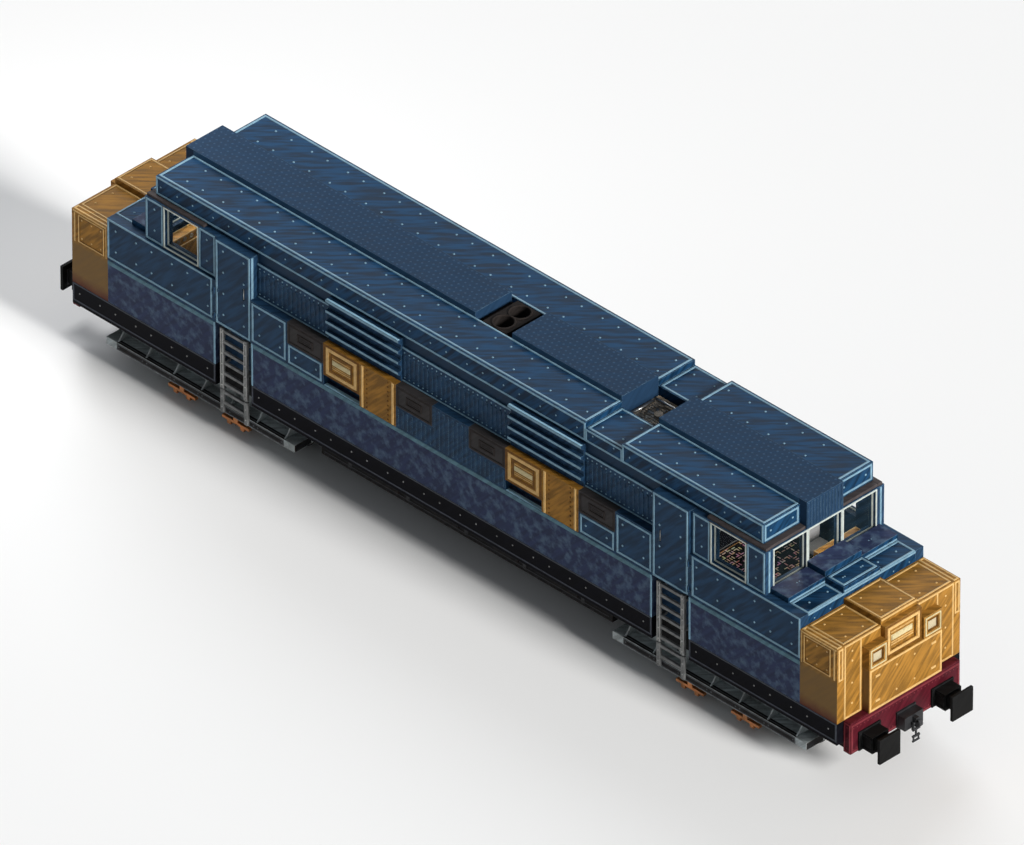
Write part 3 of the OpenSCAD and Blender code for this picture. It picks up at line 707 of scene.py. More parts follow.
class LOCO_OT_finishes(LocoOperator, bpy.types.Operator):
    """Give every frame piece its paint, metal or glass"""
    bl_idname = "loco.finishes"
    bl_label = "Finishes"

    def make(self, context, trim):
        glass = glass_material()
        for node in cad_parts.values():
            for spot in node.material_slots:
                slot = spot.material.name.split(".")[0]
                spot.material = glass if slot == "window_glass" else finish(CAD_FINISH[slot])
        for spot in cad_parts["roof_centre"].material_slots:
            spot.material = finish("walkway")


def flecked_floor():
    """Black lino with short coloured dashes.

    The floor is cut into cells, long one way in one layer and the other way in the next; a
    random number per cell picks whether it shows and its colour, and a margin shapes the dash.
    """
    g = Graph("Flecked lino")
    place = g.place()
    base = (0.006, 0.006, 0.007)
    for shift, (wide, deep) in ((0.0, (0.125, 0.0625)), (7.3, (0.0625, 0.125))):
        cell = g.add("ShaderNodeVectorMath", {0: place, 1: (wide, deep, 1.0)},
                     operation="DIVIDE").outputs[0]
        whole = g.add("ShaderNodeVectorMath", {0: cell}, operation="FLOOR").outputs[0]
        part = g.add("ShaderNodeVectorMath", {0: cell}, operation="FRACTION").outputs[0]
        moved = g.add("ShaderNodeVectorMath", {0: whole, 1: (shift, shift, 0.0)}).outputs[0]
        dice = g.add("ShaderNodeTexWhiteNoise", {"Vector": moved}, noise_dimensions="2D").outputs
        xy = g.split(part)
        inside = 1.0
        for axis, margin in ((0, 0.14 if wide > deep else 0.3), (1, 0.3 if wide > deep else 0.14)):
            near = g.math("ABSOLUTE", g.math("SUBTRACT", xy[axis], 0.5))
            inside = g.math("MULTIPLY", g.math("LESS_THAN", near, 0.5 - margin), inside)
        shown = g.math("MULTIPLY", inside, g.math("GREATER_THAN", dice["Value"], 0.64))
        hue = g.blend(0.6, (1.0, 0.92, 0.78), dice["Color"], "MULTIPLY")
        base = g.blend(shown, base, hue)
    g.set(Base_Color=base, Roughness=0.5, Specular_IOR_Level=0.1)
    return g.material


def bay_marks(u0, u1):
    """Two marks in each bay between u0 and u1, a fifth and three quarters of a bay in."""
    starts = u0 + BAY * np.arange(int(round((u1 - u0) / BAY)))
    return np.sort(np.concatenate([starts + 0.2 * BAY, starts + 0.77 * BAY]))


LADDER_IN, LADDER_OUT = 5.5 * BAY, 6.5 * BAY


class LOCO_OT_side_trim(LocoOperator, bpy.types.Operator):
    """Bead and rivet the body sides, the sole bars and the roof's fascia"""
    bl_idname = "loco.side_trim"
    bl_label = "Side trim"

    def make(self, context, trim):
        w, h, r = trim.bead, trim.rise, trim.rivet
        flank = (LADDER_OUT, END_X - BAY)
        mid = (-LADDER_IN, LADDER_IN)
        blue, rivets = [], []

        plates = borders([[flank[0] + 0.08, flank[1], WAIST_Z + LINE, DECK_Z]], w, HALF_W, h)
        inner = borders([[4.5 * BAY + 0.04, 5.5 * BAY - 0.02, WAIST_Z + LINE, DECK_Z - 0.04],
                         [3.5 * BAY + 0.05, 4.5 * BAY - 0.03, WAIST_Z + 0.05,
                          WAIST_Z + 0.5 * BAY - 0.02]], w, HALF_W, h)
        blue += on_quarters(plates) + on_quarters(inner)
        edges = bars([[LADDER_IN - w, LADDER_IN, FLOOR_Z, WAIST_Z],
                      [LADDER_OUT, LADDER_OUT + w, FLOOR_Z, WAIST_Z]], HALF_W, h)
        blue += on_quarters(edges)
        rivets += on_quarters(riveted(bay_marks(*flank), [WAIST_Z + 0.29, WAIST_Z + 0.79], HALF_W, r))
        rivets += on_quarters(riveted(bay_marks(4.5 * BAY, 5.5 * BAY),
                                      [WAIST_Z + 0.29, WAIST_Z + 0.79], HALF_W, r))
        rivets += on_quarters(riveted(bay_marks(3.5 * BAY, 4.5 * BAY), [WAIST_Z + 0.26], HALF_W, r))

        fascia = [[-ROOF_END, 3.5 * BAY, ROOF_Z + 0.015, SLAB_Z - 0.006],
                  [4.5 * BAY, ROOF_END, ROOF_Z + 0.015, SLAB_Z - 0.006],
                  [3.5 * BAY, 4.5 * BAY, ROOF_Z + 0.015, SLAB_Z - 0.131]]
        blue += on_sides(borders(fascia, 0.9 * w, CORE_Y, h))
        marks = bay_marks(-7.5 * BAY, 7.5 * BAY)
        marks = np.concatenate([marks, [-8.25 * BAY + 0.06, -7.73 * BAY, 7.7 * BAY, 8.2 * BAY]])
        rivets += on_sides(riveted(marks, [ROOF_Z + 0.215], CORE_Y, 0.8 * r))

        post = borders([[LADDER_OUT + 0.05, 7.0 * BAY, DECK_Z + 0.02, EAVES_Z - 0.02],
                        [8.0 * BAY, CAB_X - 0.02, DECK_Z + 0.02, EAVES_Z - 0.02]], w, CAB_Y, h)
        blue += on_quarters(post)
        rivets += on_quarters(riveted([6.78 * BAY, 8.24 * BAY], [DECK_Z + 0.29, DECK_Z + 0.79],
                                      CAB_Y, r))
        lips = [[1.5 * BAY, 3.5 * BAY, DECK_Z + 0.25 * n * BAY - LINE + 0.004,
                 DECK_Z + 0.25 * n * BAY - 0.002] for n in range(1, 5)]
        blue += on_quarters(bars(lips, CAB_Y - 0.006, 0.008, 0.3))
        piece("side_beads", blue, "line")
        piece("side_rivets", rivets, "line", smooth=True)

        strips = bars([[mid[0], mid[1], WAIST_Z - 1.6 * LINE, WAIST_Z - 0.004]], HALF_W, 0.007)
        outer = bars([[flank[0], flank[1], WAIST_Z - 1.6 * LINE, WAIST_Z - 0.004]], HALF_W, 0.007)
        piece("waist_strips", on_sides(strips) + on_quarters(outer), "teal")

        runs = [[mid[0], mid[1]], [LADDER_OUT, END_X], [-END_X, -LADDER_OUT]]
        sole = borders([[a + 0.01, b - 0.01, SOLE_Z + 0.07, FLOOR_Z - 0.004] for a, b in runs],
                       0.8 * w, HALF_W, 0.7 * h)
        piece("sole_bar_beads", on_sides(sole), "black_line")
        marks = np.concatenate([bay_marks(a, b) for a, b in runs])
        piece("sole_bar_rivets", on_sides(riveted(marks, [SOLE_Z + 0.29], HALF_W, 0.8 * r)),
              "ladder", smooth=True)


class LOCO_OT_side_sheets(LocoOperator, bpy.types.Operator):
    """Add the ribbed sheets, vents, grilles and edge panels of the sides"""
    bl_idname = "loco.side_sheets"
    bl_label = "Side sheets"

    def make(self, context, trim):
        w, h = trim.bead, trim.rise
        top = high("ribbed_panels").z
        bays = np.array([-5.5, -4.5, -1.5, -0.5, 0.5, 3.5, 4.5]) * BAY
        step = BAY / trim.ribs
        ribs = (bays[:, None] + step * (np.arange(trim.ribs) + 0.5)).ravel()
        sheet = np.stack([ribs - 0.24 * step, ribs + 0.24 * step, np.full(len(ribs), DECK_Z + 0.15),
                          np.full(len(ribs), top - 0.17)], 1)
        parts = on_sides(bars(sheet, CORE_Y, 0.014, 0.8))
        lower = (np.array([-1.5, -0.5, 0.5])[:, None] * BAY
                 + step * (np.arange(trim.ribs) + 0.5)).ravel()
        tall = np.where(np.abs(lower) < 0.5 * BAY, DECK_Z - 0.06, WAIST_Z + 0.45 * BAY)
        sheet = np.stack([lower - 0.2 * step, lower + 0.2 * step,
                          np.full(len(lower), WAIST_Z + 0.05), tall], 1)
        parts += on_sides(bars(sheet, HALF_W, 0.008, 0.8))
        piece("ribbed_sheets", parts, "body_blue")
        runs = [[-5.5, -3.5], [-1.5, 1.5], [3.5, 5.5]]
        edges = [[a * BAY, b * BAY, DECK_Z + 0.002, DECK_Z + 0.8 * w]
                 for a, b in runs] + [[a * BAY, b * BAY, top - w, top - 0.002] for a, b in runs]
        marks = grid(ribs, [DECK_Z + 0.1, top - 0.12])
        piece("ribbed_sheet_edges", on_sides(bars(edges, CORE_Y, h))
              + on_sides(domes(marks, CORE_Y, 0.018, 0.010)), "line")

        vents = np.array([-4.5, -1.5, 0.5, 3.5]) * BAY
        z0, z1 = low("side_vents").z, high("side_vents").z
        rims = [inside(a, a + BAY, z0, z1, 0.03) for a in vents]
        slots = [[a + 0.28, a + 0.72, z0 + 0.15, z1 - 0.15] for a in vents]
        slats = [[a + 0.36, a + 0.64, z, z + 0.02] for a in vents
                 for z in np.linspace(z0 + 0.22, z1 - 0.24, 2)]
        piece("vent_frames", on_sides(borders(rims, 0.04, HALF_W, h))
              + on_sides(borders(slots, 0.045, HALF_W, 1.6 * h))
              + on_sides(bars(slats, HALF_W, 0.004)), "vent_dark")

        grilles = np.array([-3.5, 1.5]) * BAY
        z0, z1 = WAIST_Z + 0.25 * BAY, DECK_Z
        mid = 0.5 * (z0 + z1)
        rims = [inside(a, a + BAY, z0, z1, 0.004) for a in grilles]
        wells = [[a + 0.20, a + 0.80, z0 + 0.16, z1 - 0.15] for a in grilles]
        piece("grille_shadows", on_sides(borders(rims, 0.055, HALF_W, 0.006))
              + on_sides(borders(wells, 0.045, HALF_W, 0.008)), "brown")
        frames = [[a + 0.075, a + 0.925, z0 + 0.06, z1 - 0.06] for a in grilles]
        thin = [[a + 0.25, a + 0.75, z, z + 0.022] for a in grilles
                for z in (mid - 0.12, mid - 0.075, mid + 0.115)]
        heads = np.concatenate([grid([a + 0.115, a + 0.885], [z0 + 0.1, z1 - 0.1]) for a in grilles])
        piece("grille_frames", on_sides(borders(frames, 0.08, HALF_W, h))
              + on_sides(bars(thin, HALF_W, 0.008))
              + on_sides(domes(heads, HALF_W + h, 0.018, 0.010)), "gold")
        wide = [[a + 0.25, a + 0.75, mid - 0.03, mid + 0.085] for a in grilles]
        piece("grille_slats", on_sides(bars(wide, HALF_W, 0.014, 0.8)), "cream")
        backs = [inside(a, a + BAY, WAIST_Z, z0, 0.002) for a in grilles]
        piece("recess_backs", on_sides(bars(backs, CORE_Y, 0.004)), "body_blue")
        # the ledges under the grilles and the caps over the side windows are painted pale, to stand in
        # for the light their recesses keep off
        ledges = bars([[a + 0.01, a + BAY - 0.01, CORE_Y + 0.09, HALF_W - 0.006]
                       for a in grilles], WAIST_Z, 0.01)
        caps = bars([[1.5 * BAY + 0.01, 3.5 * BAY - 0.01, CAB_Y - 0.055, CAB_Y - 0.006]],
                    EAVES_Z, 0.008)
        piece("recess_ledges", both(ledges, "top", ends=(1,)) + both(caps, "top"), "pale")

        edges = np.array([-2.5, 2.5]) * BAY
        posts = [[a + k, a + k + 0.06, WAIST_Z + 0.01, DECK_Z - 0.01] for a in edges
                 for k in (0.05, 0.885)]
        teeth = np.concatenate([grid([a + 0.2, a + 0.78], np.arange(9) * 0.11 + WAIST_Z + 0.06)
                                for a in edges])
        piece("edge_panel_bars", on_sides(bars(posts, HALF_W, 0.02)), "gold")
        # these rivets take the shadow-frame brown, a painted shade
        piece("edge_panel_rivets", on_sides(domes(teeth, HALF_W, 0.024, 0.012)),
              "brown", smooth=True)


class LOCO_OT_windows(LocoOperator, bpy.types.Operator):
    """Frame the windscreens and the side windows, and close the eaves over them"""
    bl_idname = "loco.windows"
    bl_label = "Windows"

    def make(self, context, trim):
        lo, hi = low("cab_glass"), high("cab_glass")
        sill, head = lo.z, hi.z
        half, pitch = 0.44, 0.95
        screens = [[n * pitch - half - 0.034, n * pitch + half + 0.034, sill - 0.04, head + 0.036]
                   for n in (-1, 0, 1)]
        sides = [[7.05 * BAY - 0.036, 7.95 * BAY + 0.036, sill - 0.04, head + 0.036]]
        parts = on_ends(borders(screens, 0.036, CAB_X, 0.014))
        parts += on_quarters(borders(sides, 0.036, CAB_Y, 0.014))
        deep = 0.09
        parts += on_ends(borders([[a + 0.034, b - 0.034, c + 0.04, d - 0.036]
                                  for a, b, c, d in screens], 0.022, CAB_X - deep, 0.03))
        parts += on_quarters(borders([[a + 0.036, b - 0.036, c + 0.04, d - 0.036]
                                      for a, b, c, d in sides], 0.022, CAB_Y - deep, 0.03))
        piece("window_frames", parts, "offwhite")
        gap = (EAVES_Z, ROOF_Z - 0.002)
        lintels = [block((6.9 * BAY, CAB_X - 0.02), (1.475, CAB_Y - 0.03), gap)]
        lintels += [block((ROOF_END + 0.004, CAB_X - 0.03), (STRIP_Y + 0.004, 1.475), gap)]
        out = []
        for e in ENDS:
            for s in SIDES:
                for p, f in lintels:
                    out.append((p * (e, s, 1), f if e * s > 0 else [g[:, ::-1] for g in f]))
        surround = borders([[7.0 * BAY - 0.03, 8.0 * BAY + 0.03, sill - 0.075, head + 0.048]],
                           0.035, CAB_Y, 0.008)
        out += on_quarters(surround)
        strips = bars([[-1.5, 1.5, sill - 0.058, sill - 0.042]], CAB_X, 0.01)
        out += on_ends(strips)
        piece("window_lintels", out, "lintel")
        posts = bars([[1.5, 1.5 + 0.05, DECK_Z + 0.02, EAVES_Z - 0.02]], CAB_X, trim.rise)
        piece("cab_corner_beads", on_corners(posts), "line")


class LOCO_OT_roof(LocoOperator, bpy.types.Operator):
    """Bead, rivet and stud the roof, and trim its ends"""
    bl_idname = "loco.roof"
    bl_label = "Roof"

    def make(self, context, trim):
        w, h, r = trim.bead, trim.rise, trim.rivet
        low_z = high("exhaust").z - 0.125
        slabs = [[-ROOF_END + 0.03, 3.5 * BAY - 0.03, STRIP_Y + 0.006, CORE_Y - 0.04],
                 [4.5 * BAY + 0.03, ROOF_END - 0.03, STRIP_Y + 0.006, CORE_Y - 0.04]]
        sunk = [inside(3.5 * BAY, 4.5 * BAY, STRIP_Y, CORE_Y, 0.03)]
        parts = both(borders(slabs, w, SLAB_Z, h), "top", ends=(1,))
        parts += both(borders(sunk, w, low_z, h), "top", ends=(1,))
        ends = borders([[STRIP_Y + 0.04, CORE_Y - 0.03, ROOF_Z + 0.03, SLAB_Z - 0.03]], w, ROOF_END, h)
        parts += on_corners(ends)
        piece("roof_beads", parts, "line")
        starts = np.arange(-8, 8) * BAY - 0.5 * BAY
        marks = np.concatenate([starts + 0.19 * BAY, starts + 0.76 * BAY])
        over_gear = (marks > 3.45 * BAY) & (marks < 4.55 * BAY)
        marks = marks[(np.abs(marks) < ROOF_END - 0.1) & ~over_gear]
        rivets = both(riveted(marks, [CORE_Y - 0.285, CORE_Y - 0.785], SLAB_Z, r), "top", ends=(1,))
        rivets += both(riveted([3.72 * BAY, 4.28 * BAY], [CORE_Y - 0.25, CORE_Y - 0.75],
                               low_z, r), "top", ends=(1,))
        rivets += on_corners(riveted([STRIP_Y + 0.2, CORE_Y - 0.2], [ROOF_Z + 0.22], ROOF_END, r))
        piece("roof_rivets", rivets, "line", smooth=True)

        pitch = BAY / 8
        rows = (np.arange(8) - 3.5) * pitch
        studs = []
        for a, b in ((-8.5, -0.5), (0.5, 3.5), (4.5, 8.5)):
            us = np.arange(a * BAY + 0.5 * pitch, b * BAY - 0.2 * pitch, pitch)
            for k, v in enumerate(rows):
                shift = 0.25 * pitch * (1 if k % 2 else -1)
                studs.append(np.stack([us + shift, np.full(len(us), v)], 1))
        piece("roof_studs", [domes(np.concatenate(studs), TOP_Z, trim.stud, 0.006, 4)],
              "stud")
        # walkway side plates: a lighter blue, painted on to stand in for the light these shaded side
        # walls miss
        steps = bars([[a * BAY + 0.01, b * BAY - 0.01, SLAB_Z + 0.006, TOP_Z - 0.006]
                      for a, b in ((-8.3, -0.5), (0.5, 3.5), (4.5, 8.3))], STRIP_Y, 0.003)
        piece("walkway_sides", on_sides(steps), "step")
        ys = (np.arange(12) - 5.5) * STRIP_Y / 6
        ribs = np.stack([ys - 0.022, ys + 0.022, np.full(12, EAVES_Z + 0.03),
                         np.full(12, TOP_Z - 0.03)], 1)
        piece("roof_end_ribs", on_ends(bars(ribs, CAB_X, 0.012)), "walkway")

        rim = [(0.205, -0.03), (0.205, 0.004), (0.212, 0.02), (0.232, 0.024), (0.246, 0.012),
               (0.25, -0.003)]
        rims = [turned(rim, (0, s * 0.225, high("exhaust").z), "z", 40) for s in SIDES]
        tops = borders([[-0.47 * BAY, 0.47 * BAY, -0.47 * BAY, 0.47 * BAY]], 0.05,
                       high("exhaust").z - 0.125, 0.014)
        piece("exhaust_rims", rims + [lay(tops, "top")], "soot", merge=True)

        cx, z = 4.0 * BAY, low("cooling_gear").z
        blades = []
        for n in range(8):
            a = 2 * math.pi * n / 8 + np.array([0.0, 0.42])
            t = np.linspace(0.09, 0.27, 6)
            lead = np.stack([t * np.cos(a[0]), t * np.sin(a[0]), np.full(6, 0.112)], 1)
            trail = np.stack([t * np.cos(a[1]), t * np.sin(a[1]), np.full(6, 0.062)], 1)
            loop = np.stack([lead, trail, trail - (0, 0, 0.006), lead - (0, 0, 0.006)])
            blades.append((loop.reshape(-1, 3) + (cx, 0, z),
                           [net(4, 6, close_rows=True), np.array([[0, 6, 12, 18], [23, 17, 11, 5]])]))
        piece("cooling_fan", blades, "steel", merge=True)
        pipes = []
        for s in SIDES:
            path = [(cx - 0.42, s * 0.38, z + 0.10), (cx - 0.30, s * 0.36, z + 0.125),
                    (cx + 0.02, s * 0.36, z + 0.13), (cx + 0.30, s * 0.36, z + 0.125),
                    (cx + 0.42, s * 0.40, z + 0.10)]
            pipes.append(tube(path, 0.028, 12))
        pipes.append(tube([(cx - 0.43, -0.3, z + 0.10), (cx - 0.40, 0.0, z + 0.12),
                           (cx - 0.43, 0.3, z + 0.10)], 0.03, 12))
        piece("cooling_pipes", pipes, "steel", smooth=True, merge=True)
        guard = bars([[cx - 0.34, cx + 0.34, y - 0.006, y + 0.006]
                      for y in np.linspace(-0.28, 0.28, 9)], z + 0.126, 0.012)
        piece("cooling_guard", [lay(guard, "top")], "ladder")


class LOCO_OT_noses(LocoOperator, bpy.types.Operator):
    """Trim both noses: decks, hatches, beads, rivets, lamps and headcode boxes"""
    bl_idname = "loco.noses"
    bl_label = "Noses"

    def make(self, context, trim):
        self.decks(trim.bead, trim.rise, trim.rivet)
        self.shells(trim.bead, trim.rise, trim.rivet)
        self.lamps()
        self.headcodes(trim.rise)

    def decks(self, w, h, r):
        """Beads, ledges and rivets of the blue decks before the cabs."""
        ledge = DECK_Z + 0.125
        inner_y = 1.47
        deck = borders([[9.0 * BAY + 0.02, 9.5 * BAY - 0.004, STRIP_Y + 0.03, inner_y]], w, DECK_Z, h)
        hatch = borders([inside(9.0 * BAY, 9.5 * BAY, -STRIP_Y, STRIP_Y, 0.04)], w, ledge, h)
        blue = both(deck, "top") + both(hatch, "top", sides=(1,))
        blue += on_corners(bars([[STRIP_Y + 0.01, inner_y, DECK_Z + 0.006, DECK_Z + 0.046]],
                                9.0 * BAY, h))
        blue += on_ends(bars([[-inner_y, inner_y, DECK_Z - w - 0.004, DECK_Z - 0.004]], 9.5 * BAY, h))
        blue += on_ends(bars([[-STRIP_Y + 0.01, STRIP_Y - 0.01, DECK_Z + 0.01, DECK_Z + 0.05]],
                             9.5 * BAY, h))
        piece("deck_beads", blue, "line")
        tops = bars([inside(CAB_X, 9.0 * BAY, STRIP_Y, CORE_Y, 0.004)], ledge, 0.004)
        centre = bars([inside(CAB_X, 9.0 * BAY, -STRIP_Y, STRIP_Y, 0.004)], ledge + 0.125, 0.004)
        piece("ledge_tops", both(tops, "top") + both(centre, "top", sides=(1,)),
              "lower_blue")
        rivets = both(riveted([9.25 * BAY], [0.69, 1.19], DECK_Z, r), "top")
        rivets += both(riveted([9.25 * BAY], [-0.27, -0.22, 0.22, 0.27], ledge, 0.8 * r), "top",
                       sides=(1,))
        rivets += on_ends(riveted(np.linspace(-1.3, 1.3, 7), [NOSE_Z + 0.07], 9.5 * BAY, 0.7 * r))
        rivets += both(riveted([8.75 * BAY], [0.95, 1.02], ledge, 0.7 * r), "top")
        piece("deck_rivets", rivets, "line", smooth=True)

    def shells(self, w, h, r):
        """Beads, shadow lines and rivets of the yellow noses."""
        x0, x1, top = 9.5 * BAY, END_X, high("noses").z
        gold = both(borders([[x0 + 0.05, x1 - 0.05, STRIP_Y + 0.02, CORE_Y - 0.02],
                             [x0 + 0.02, x1 - 0.02, CORE_Y + 0.03, HALF_W - 0.02]], 0.9 * w, NOSE_Z,
                            h), "top")
        gold += both(borders([inside(x0, x1, -STRIP_Y, STRIP_Y, 0.03)], 0.9 * w, top, h), "top",
                     sides=(1,))
        gold += on_ends(bars([[-STRIP_Y + 0.01, STRIP_Y - 0.01, top - 0.05, top - 0.006]], x1, h))
        gold += on_corners(borders([[PLATE_Y + 0.03, CORE_Y, FLOOR_Z + 0.015, NOSE_Z - 0.008],
                                    [CORE_Y + 0.03, HALF_W - 0.025, WAIST_Z - 0.02,
                                     NOSE_Z - 0.02]], 0.9 * w, x1, h))
        gold += on_corners(bars([[CODE_Y + 0.02, PLATE_Y + 0.04, NOSE_Z - 0.052, NOSE_Z - 0.008]],
                                x1, h))
        gold += on_ends(borders([[-PLATE_Y + 0.012, PLATE_Y - 0.012, FLOOR_Z + 0.015,
                                  WAIST_Z - 0.004]], w, PLATE_X, h))
        gold += on_quarters(borders([[x0 + 0.10, x1 - 0.18, WAIST_Z + 0.03, NOSE_Z - 0.07]],
                                    0.028, HALF_W, h))
        gold += on_quarters(bars([[x0 + 0.03, x1 - 0.03, NOSE_Z - 0.045, NOSE_Z - 0.008],
                                  [x0 + 0.03, x0 + 0.055, WAIST_Z, NOSE_Z - 0.05],
                                  [x1 - 0.10, x1 - 0.06, WAIST_Z, NOSE_Z - 0.05]], HALF_W, 0.6 * h))
        piece("nose_beads", gold, "gold")
        shadow = on_quarters(borders([[x0 + 0.13, x1 - 0.21, WAIST_Z + 0.06, NOSE_Z - 0.10]],
                                     0.02, HALF_W, 0.005))
        shadow += on_ends(borders([inside(-CODE_Y, CODE_Y, WAIST_Z, NOSE_Z, 0.004)], 0.05,
                                  CODE_X, 0.006))
        piece("nose_shadows", shadow, "brown")

        heads = both(riveted([x0 + 0.22, x0 + 0.78], [0.78, 1.25], NOSE_Z, r), "top")
        heads += both(riveted([x0 + 0.22, x0 + 0.78], [-0.26, 0.26], top, r), "top", sides=(1,))
        column = NOSE_Z - np.array([0.21, 0.44, 0.96, 1.44])
        heads += on_corners(riveted([1.28], column, x1, r))
        rows = [FLOOR_Z + 0.21, FLOOR_Z + 0.79]
        heads += on_corners(riveted([0.245], rows, PLATE_X, r))
        heads += on_corners(bars([[0.70, 0.83, z - 0.026, z + 0.026] for z in rows], PLATE_X, 0.012))
        heads += on_quarters(riveted([x0 + 0.19, x0 + 0.45, x0 + 0.72],
                                     [WAIST_Z + 0.15, NOSE_Z - 0.17], HALF_W, 0.8 * r))
        piece("nose_rivets", heads, "gold")

    def lamps(self):
        """Frames, rims and bulging lenses of the square lamps."""
        lamp = [[CODE_Y + 0.035, PLATE_Y - 0.035, WAIST_Z + 0.035, WAIST_Z + 0.465]]
        piece("lamp_frames", on_corners(borders(lamp, 0.034, PLATE_X, 0.014)), "cream")
        mid_y, mid_z = 0.5 * (CODE_Y + PLATE_Y), LAMP_Z
        rims = borders([[mid_y - 0.149, mid_y + 0.149, mid_z - 0.149, mid_z + 0.149]], 0.028,
                       PLATE_X - 0.04, 0.03)
        hoods = bars([[mid_y - 0.12, mid_y + 0.12, mid_z + 0.085, mid_z + 0.12]], PLATE_X - 0.04, 0.03)
        # rims and hoods in the shadow-frame brown, a painted shade round the lamps
        piece("lamp_rims", on_corners(rims) + on_corners(hoods), "brown")
        n = 13
        t = np.linspace(-1, 1, n)
        a, b = np.meshgrid(t, t, indexing="ij")
        bulge = 0.020 * (1 - a ** 2) * (1 - b ** 2)
        front = np.stack([mid_y + 0.118 * a, mid_z - 0.017 + 0.10 * b, PLATE_X - 0.032 + bulge],
                         2).reshape(-1, 3)
        back = front.copy()
        back[:, 2] = PLATE_X - 0.042
        quad = net(n, n)
        loop = np.concatenate([np.arange(n) * n, (n - 1) * n + np.arange(1, n),
                               np.arange(n - 2, -1, -1) * n + n - 1, np.arange(n - 2, 0, -1)])
        after = np.roll(loop, -1)
        skirt = np.stack([loop, loop + n * n, after + n * n, after], 1)
        lens = (np.concatenate([front, back]), [quad, quad[:, ::-1] + n * n, skirt])
        piece("lamp_lenses", on_corners(lens), lens_material(), smooth=True, merge=True)

    def headcodes(self, h):
        """Frames, bolts and slats of the blank headcode boxes."""
        z, mid_z = WAIST_Z, LAMP_Z
        code = borders([inside(-CODE_Y, CODE_Y, z, NOSE_Z, 0.06)], 0.062, CODE_X, h)
        bolts = domes(grid([-CODE_Y + 0.092, CODE_Y - 0.092], [z + 0.092, NOSE_Z - 0.092]),
                      CODE_X + h, 0.017, 0.009)
        thin = bars([[-0.31, 0.31, k, k + 0.025]
                     for k in (mid_z + 0.245, mid_z + 0.005, mid_z - 0.05)], CODE_X - 0.05, 0.02)
        piece("headcode_frames", on_ends(code) + on_ends(bolts) + on_ends(thin), "gold")
        wide = bars([[-0.29, 0.29, mid_z + 0.06, mid_z + 0.19]], CODE_X - 0.05, 0.024, 0.8)
        piece("headcode_slats", on_ends(wide), "cream")


def lens_material():
    """Milky, warm lamp glass with fine ribs."""
    g = Graph("Lamp glass")
    ribs = g.add("ShaderNodeTexWave", {"Vector": g.place(), "Scale": 22.0},
                 wave_type="BANDS", bands_direction="Y").outputs["Fac"]
    g.set(Base_Color=(0.40, 0.34, 0.22, 1), Roughness=0.25, Specular_IOR_Level=0.3,
          Normal=g.bump(ribs, 0.3))
    return g.material


class LOCO_OT_buffing(LocoOperator, bpy.types.Operator):
    """Trim the buffer beams and the buffers"""
    bl_idname = "loco.buffing"
    bl_label = "Buffer beams"

    def make(self, context, trim):
        w, h = trim.bead, trim.rise
        top = high("buffer_beams").z
        rim = borders([[-BEAM_Y + 0.015, BEAM_Y - 0.015, BEAM_Z + 0.02, top - 0.045]], w, BEAM_X, h)
        row = np.arange(-1.42, 1.43, 0.098)
        heads = grid(row, [top - 0.135, BEAM_Z + 0.095])
        parts = on_ends(rim)
        parts += on_ends(domes(heads, BEAM_X, 0.017, 0.010))
        ends = borders([[END_X + 0.012, BEAM_X - 0.012, BEAM_Z + 0.02, top - 0.03]], 0.03, BEAM_Y, h)
        marks = domes(grid([0.5 * (END_X + BEAM_X)], BEAM_Z + np.array([0.12, 0.36, 0.6])),
                      BEAM_Y, 0.017, 0.010)
        parts += on_quarters(ends) + on_quarters(marks)
        piece("beam_trim", parts, "red_line")
        tops = bars([inside(END_X, BEAM_X, -BEAM_Y, BEAM_Y, 0.02)], top, 0.004)
        piece("beam_tops", both(tops, "top", sides=(1,)), "red")

        y, z = 0.5 * (low("buffers").y * -1 + 0.7), 0.5 * (low("buffers").z + high("buffers").z)
        bolts = domes(grid([y - 0.265, y + 0.265], [z - 0.17, z + 0.17]), BEAM_X + 0.04, 0.024, 0.018)
        parts = on_corners(bolts)
        case = 0.04 + 0.55 * (high("buffers").x - BEAM_X)
        x0, x1 = BEAM_X + 0.05, BEAM_X + case - 0.06
        rails = [[x0, x1, z - 0.15, z - 0.12], [x0, x1, z + 0.12, z + 0.15],
                 [x1 - 0.03, x1, z - 0.15, z + 0.15]]
        for face in (y + 0.22, 0.22 - y):
            parts += on_quarters(bars(rails, face, 0.012))
        piece("buffer_trim", parts, "buffer")
        rings = bars([[y - 0.19, y + 0.19, z - 0.19, z + 0.19]], high("buffers").x - 0.085, 0.022, 1.5)
        piece("buffer_collars", on_corners(rings), "forged")


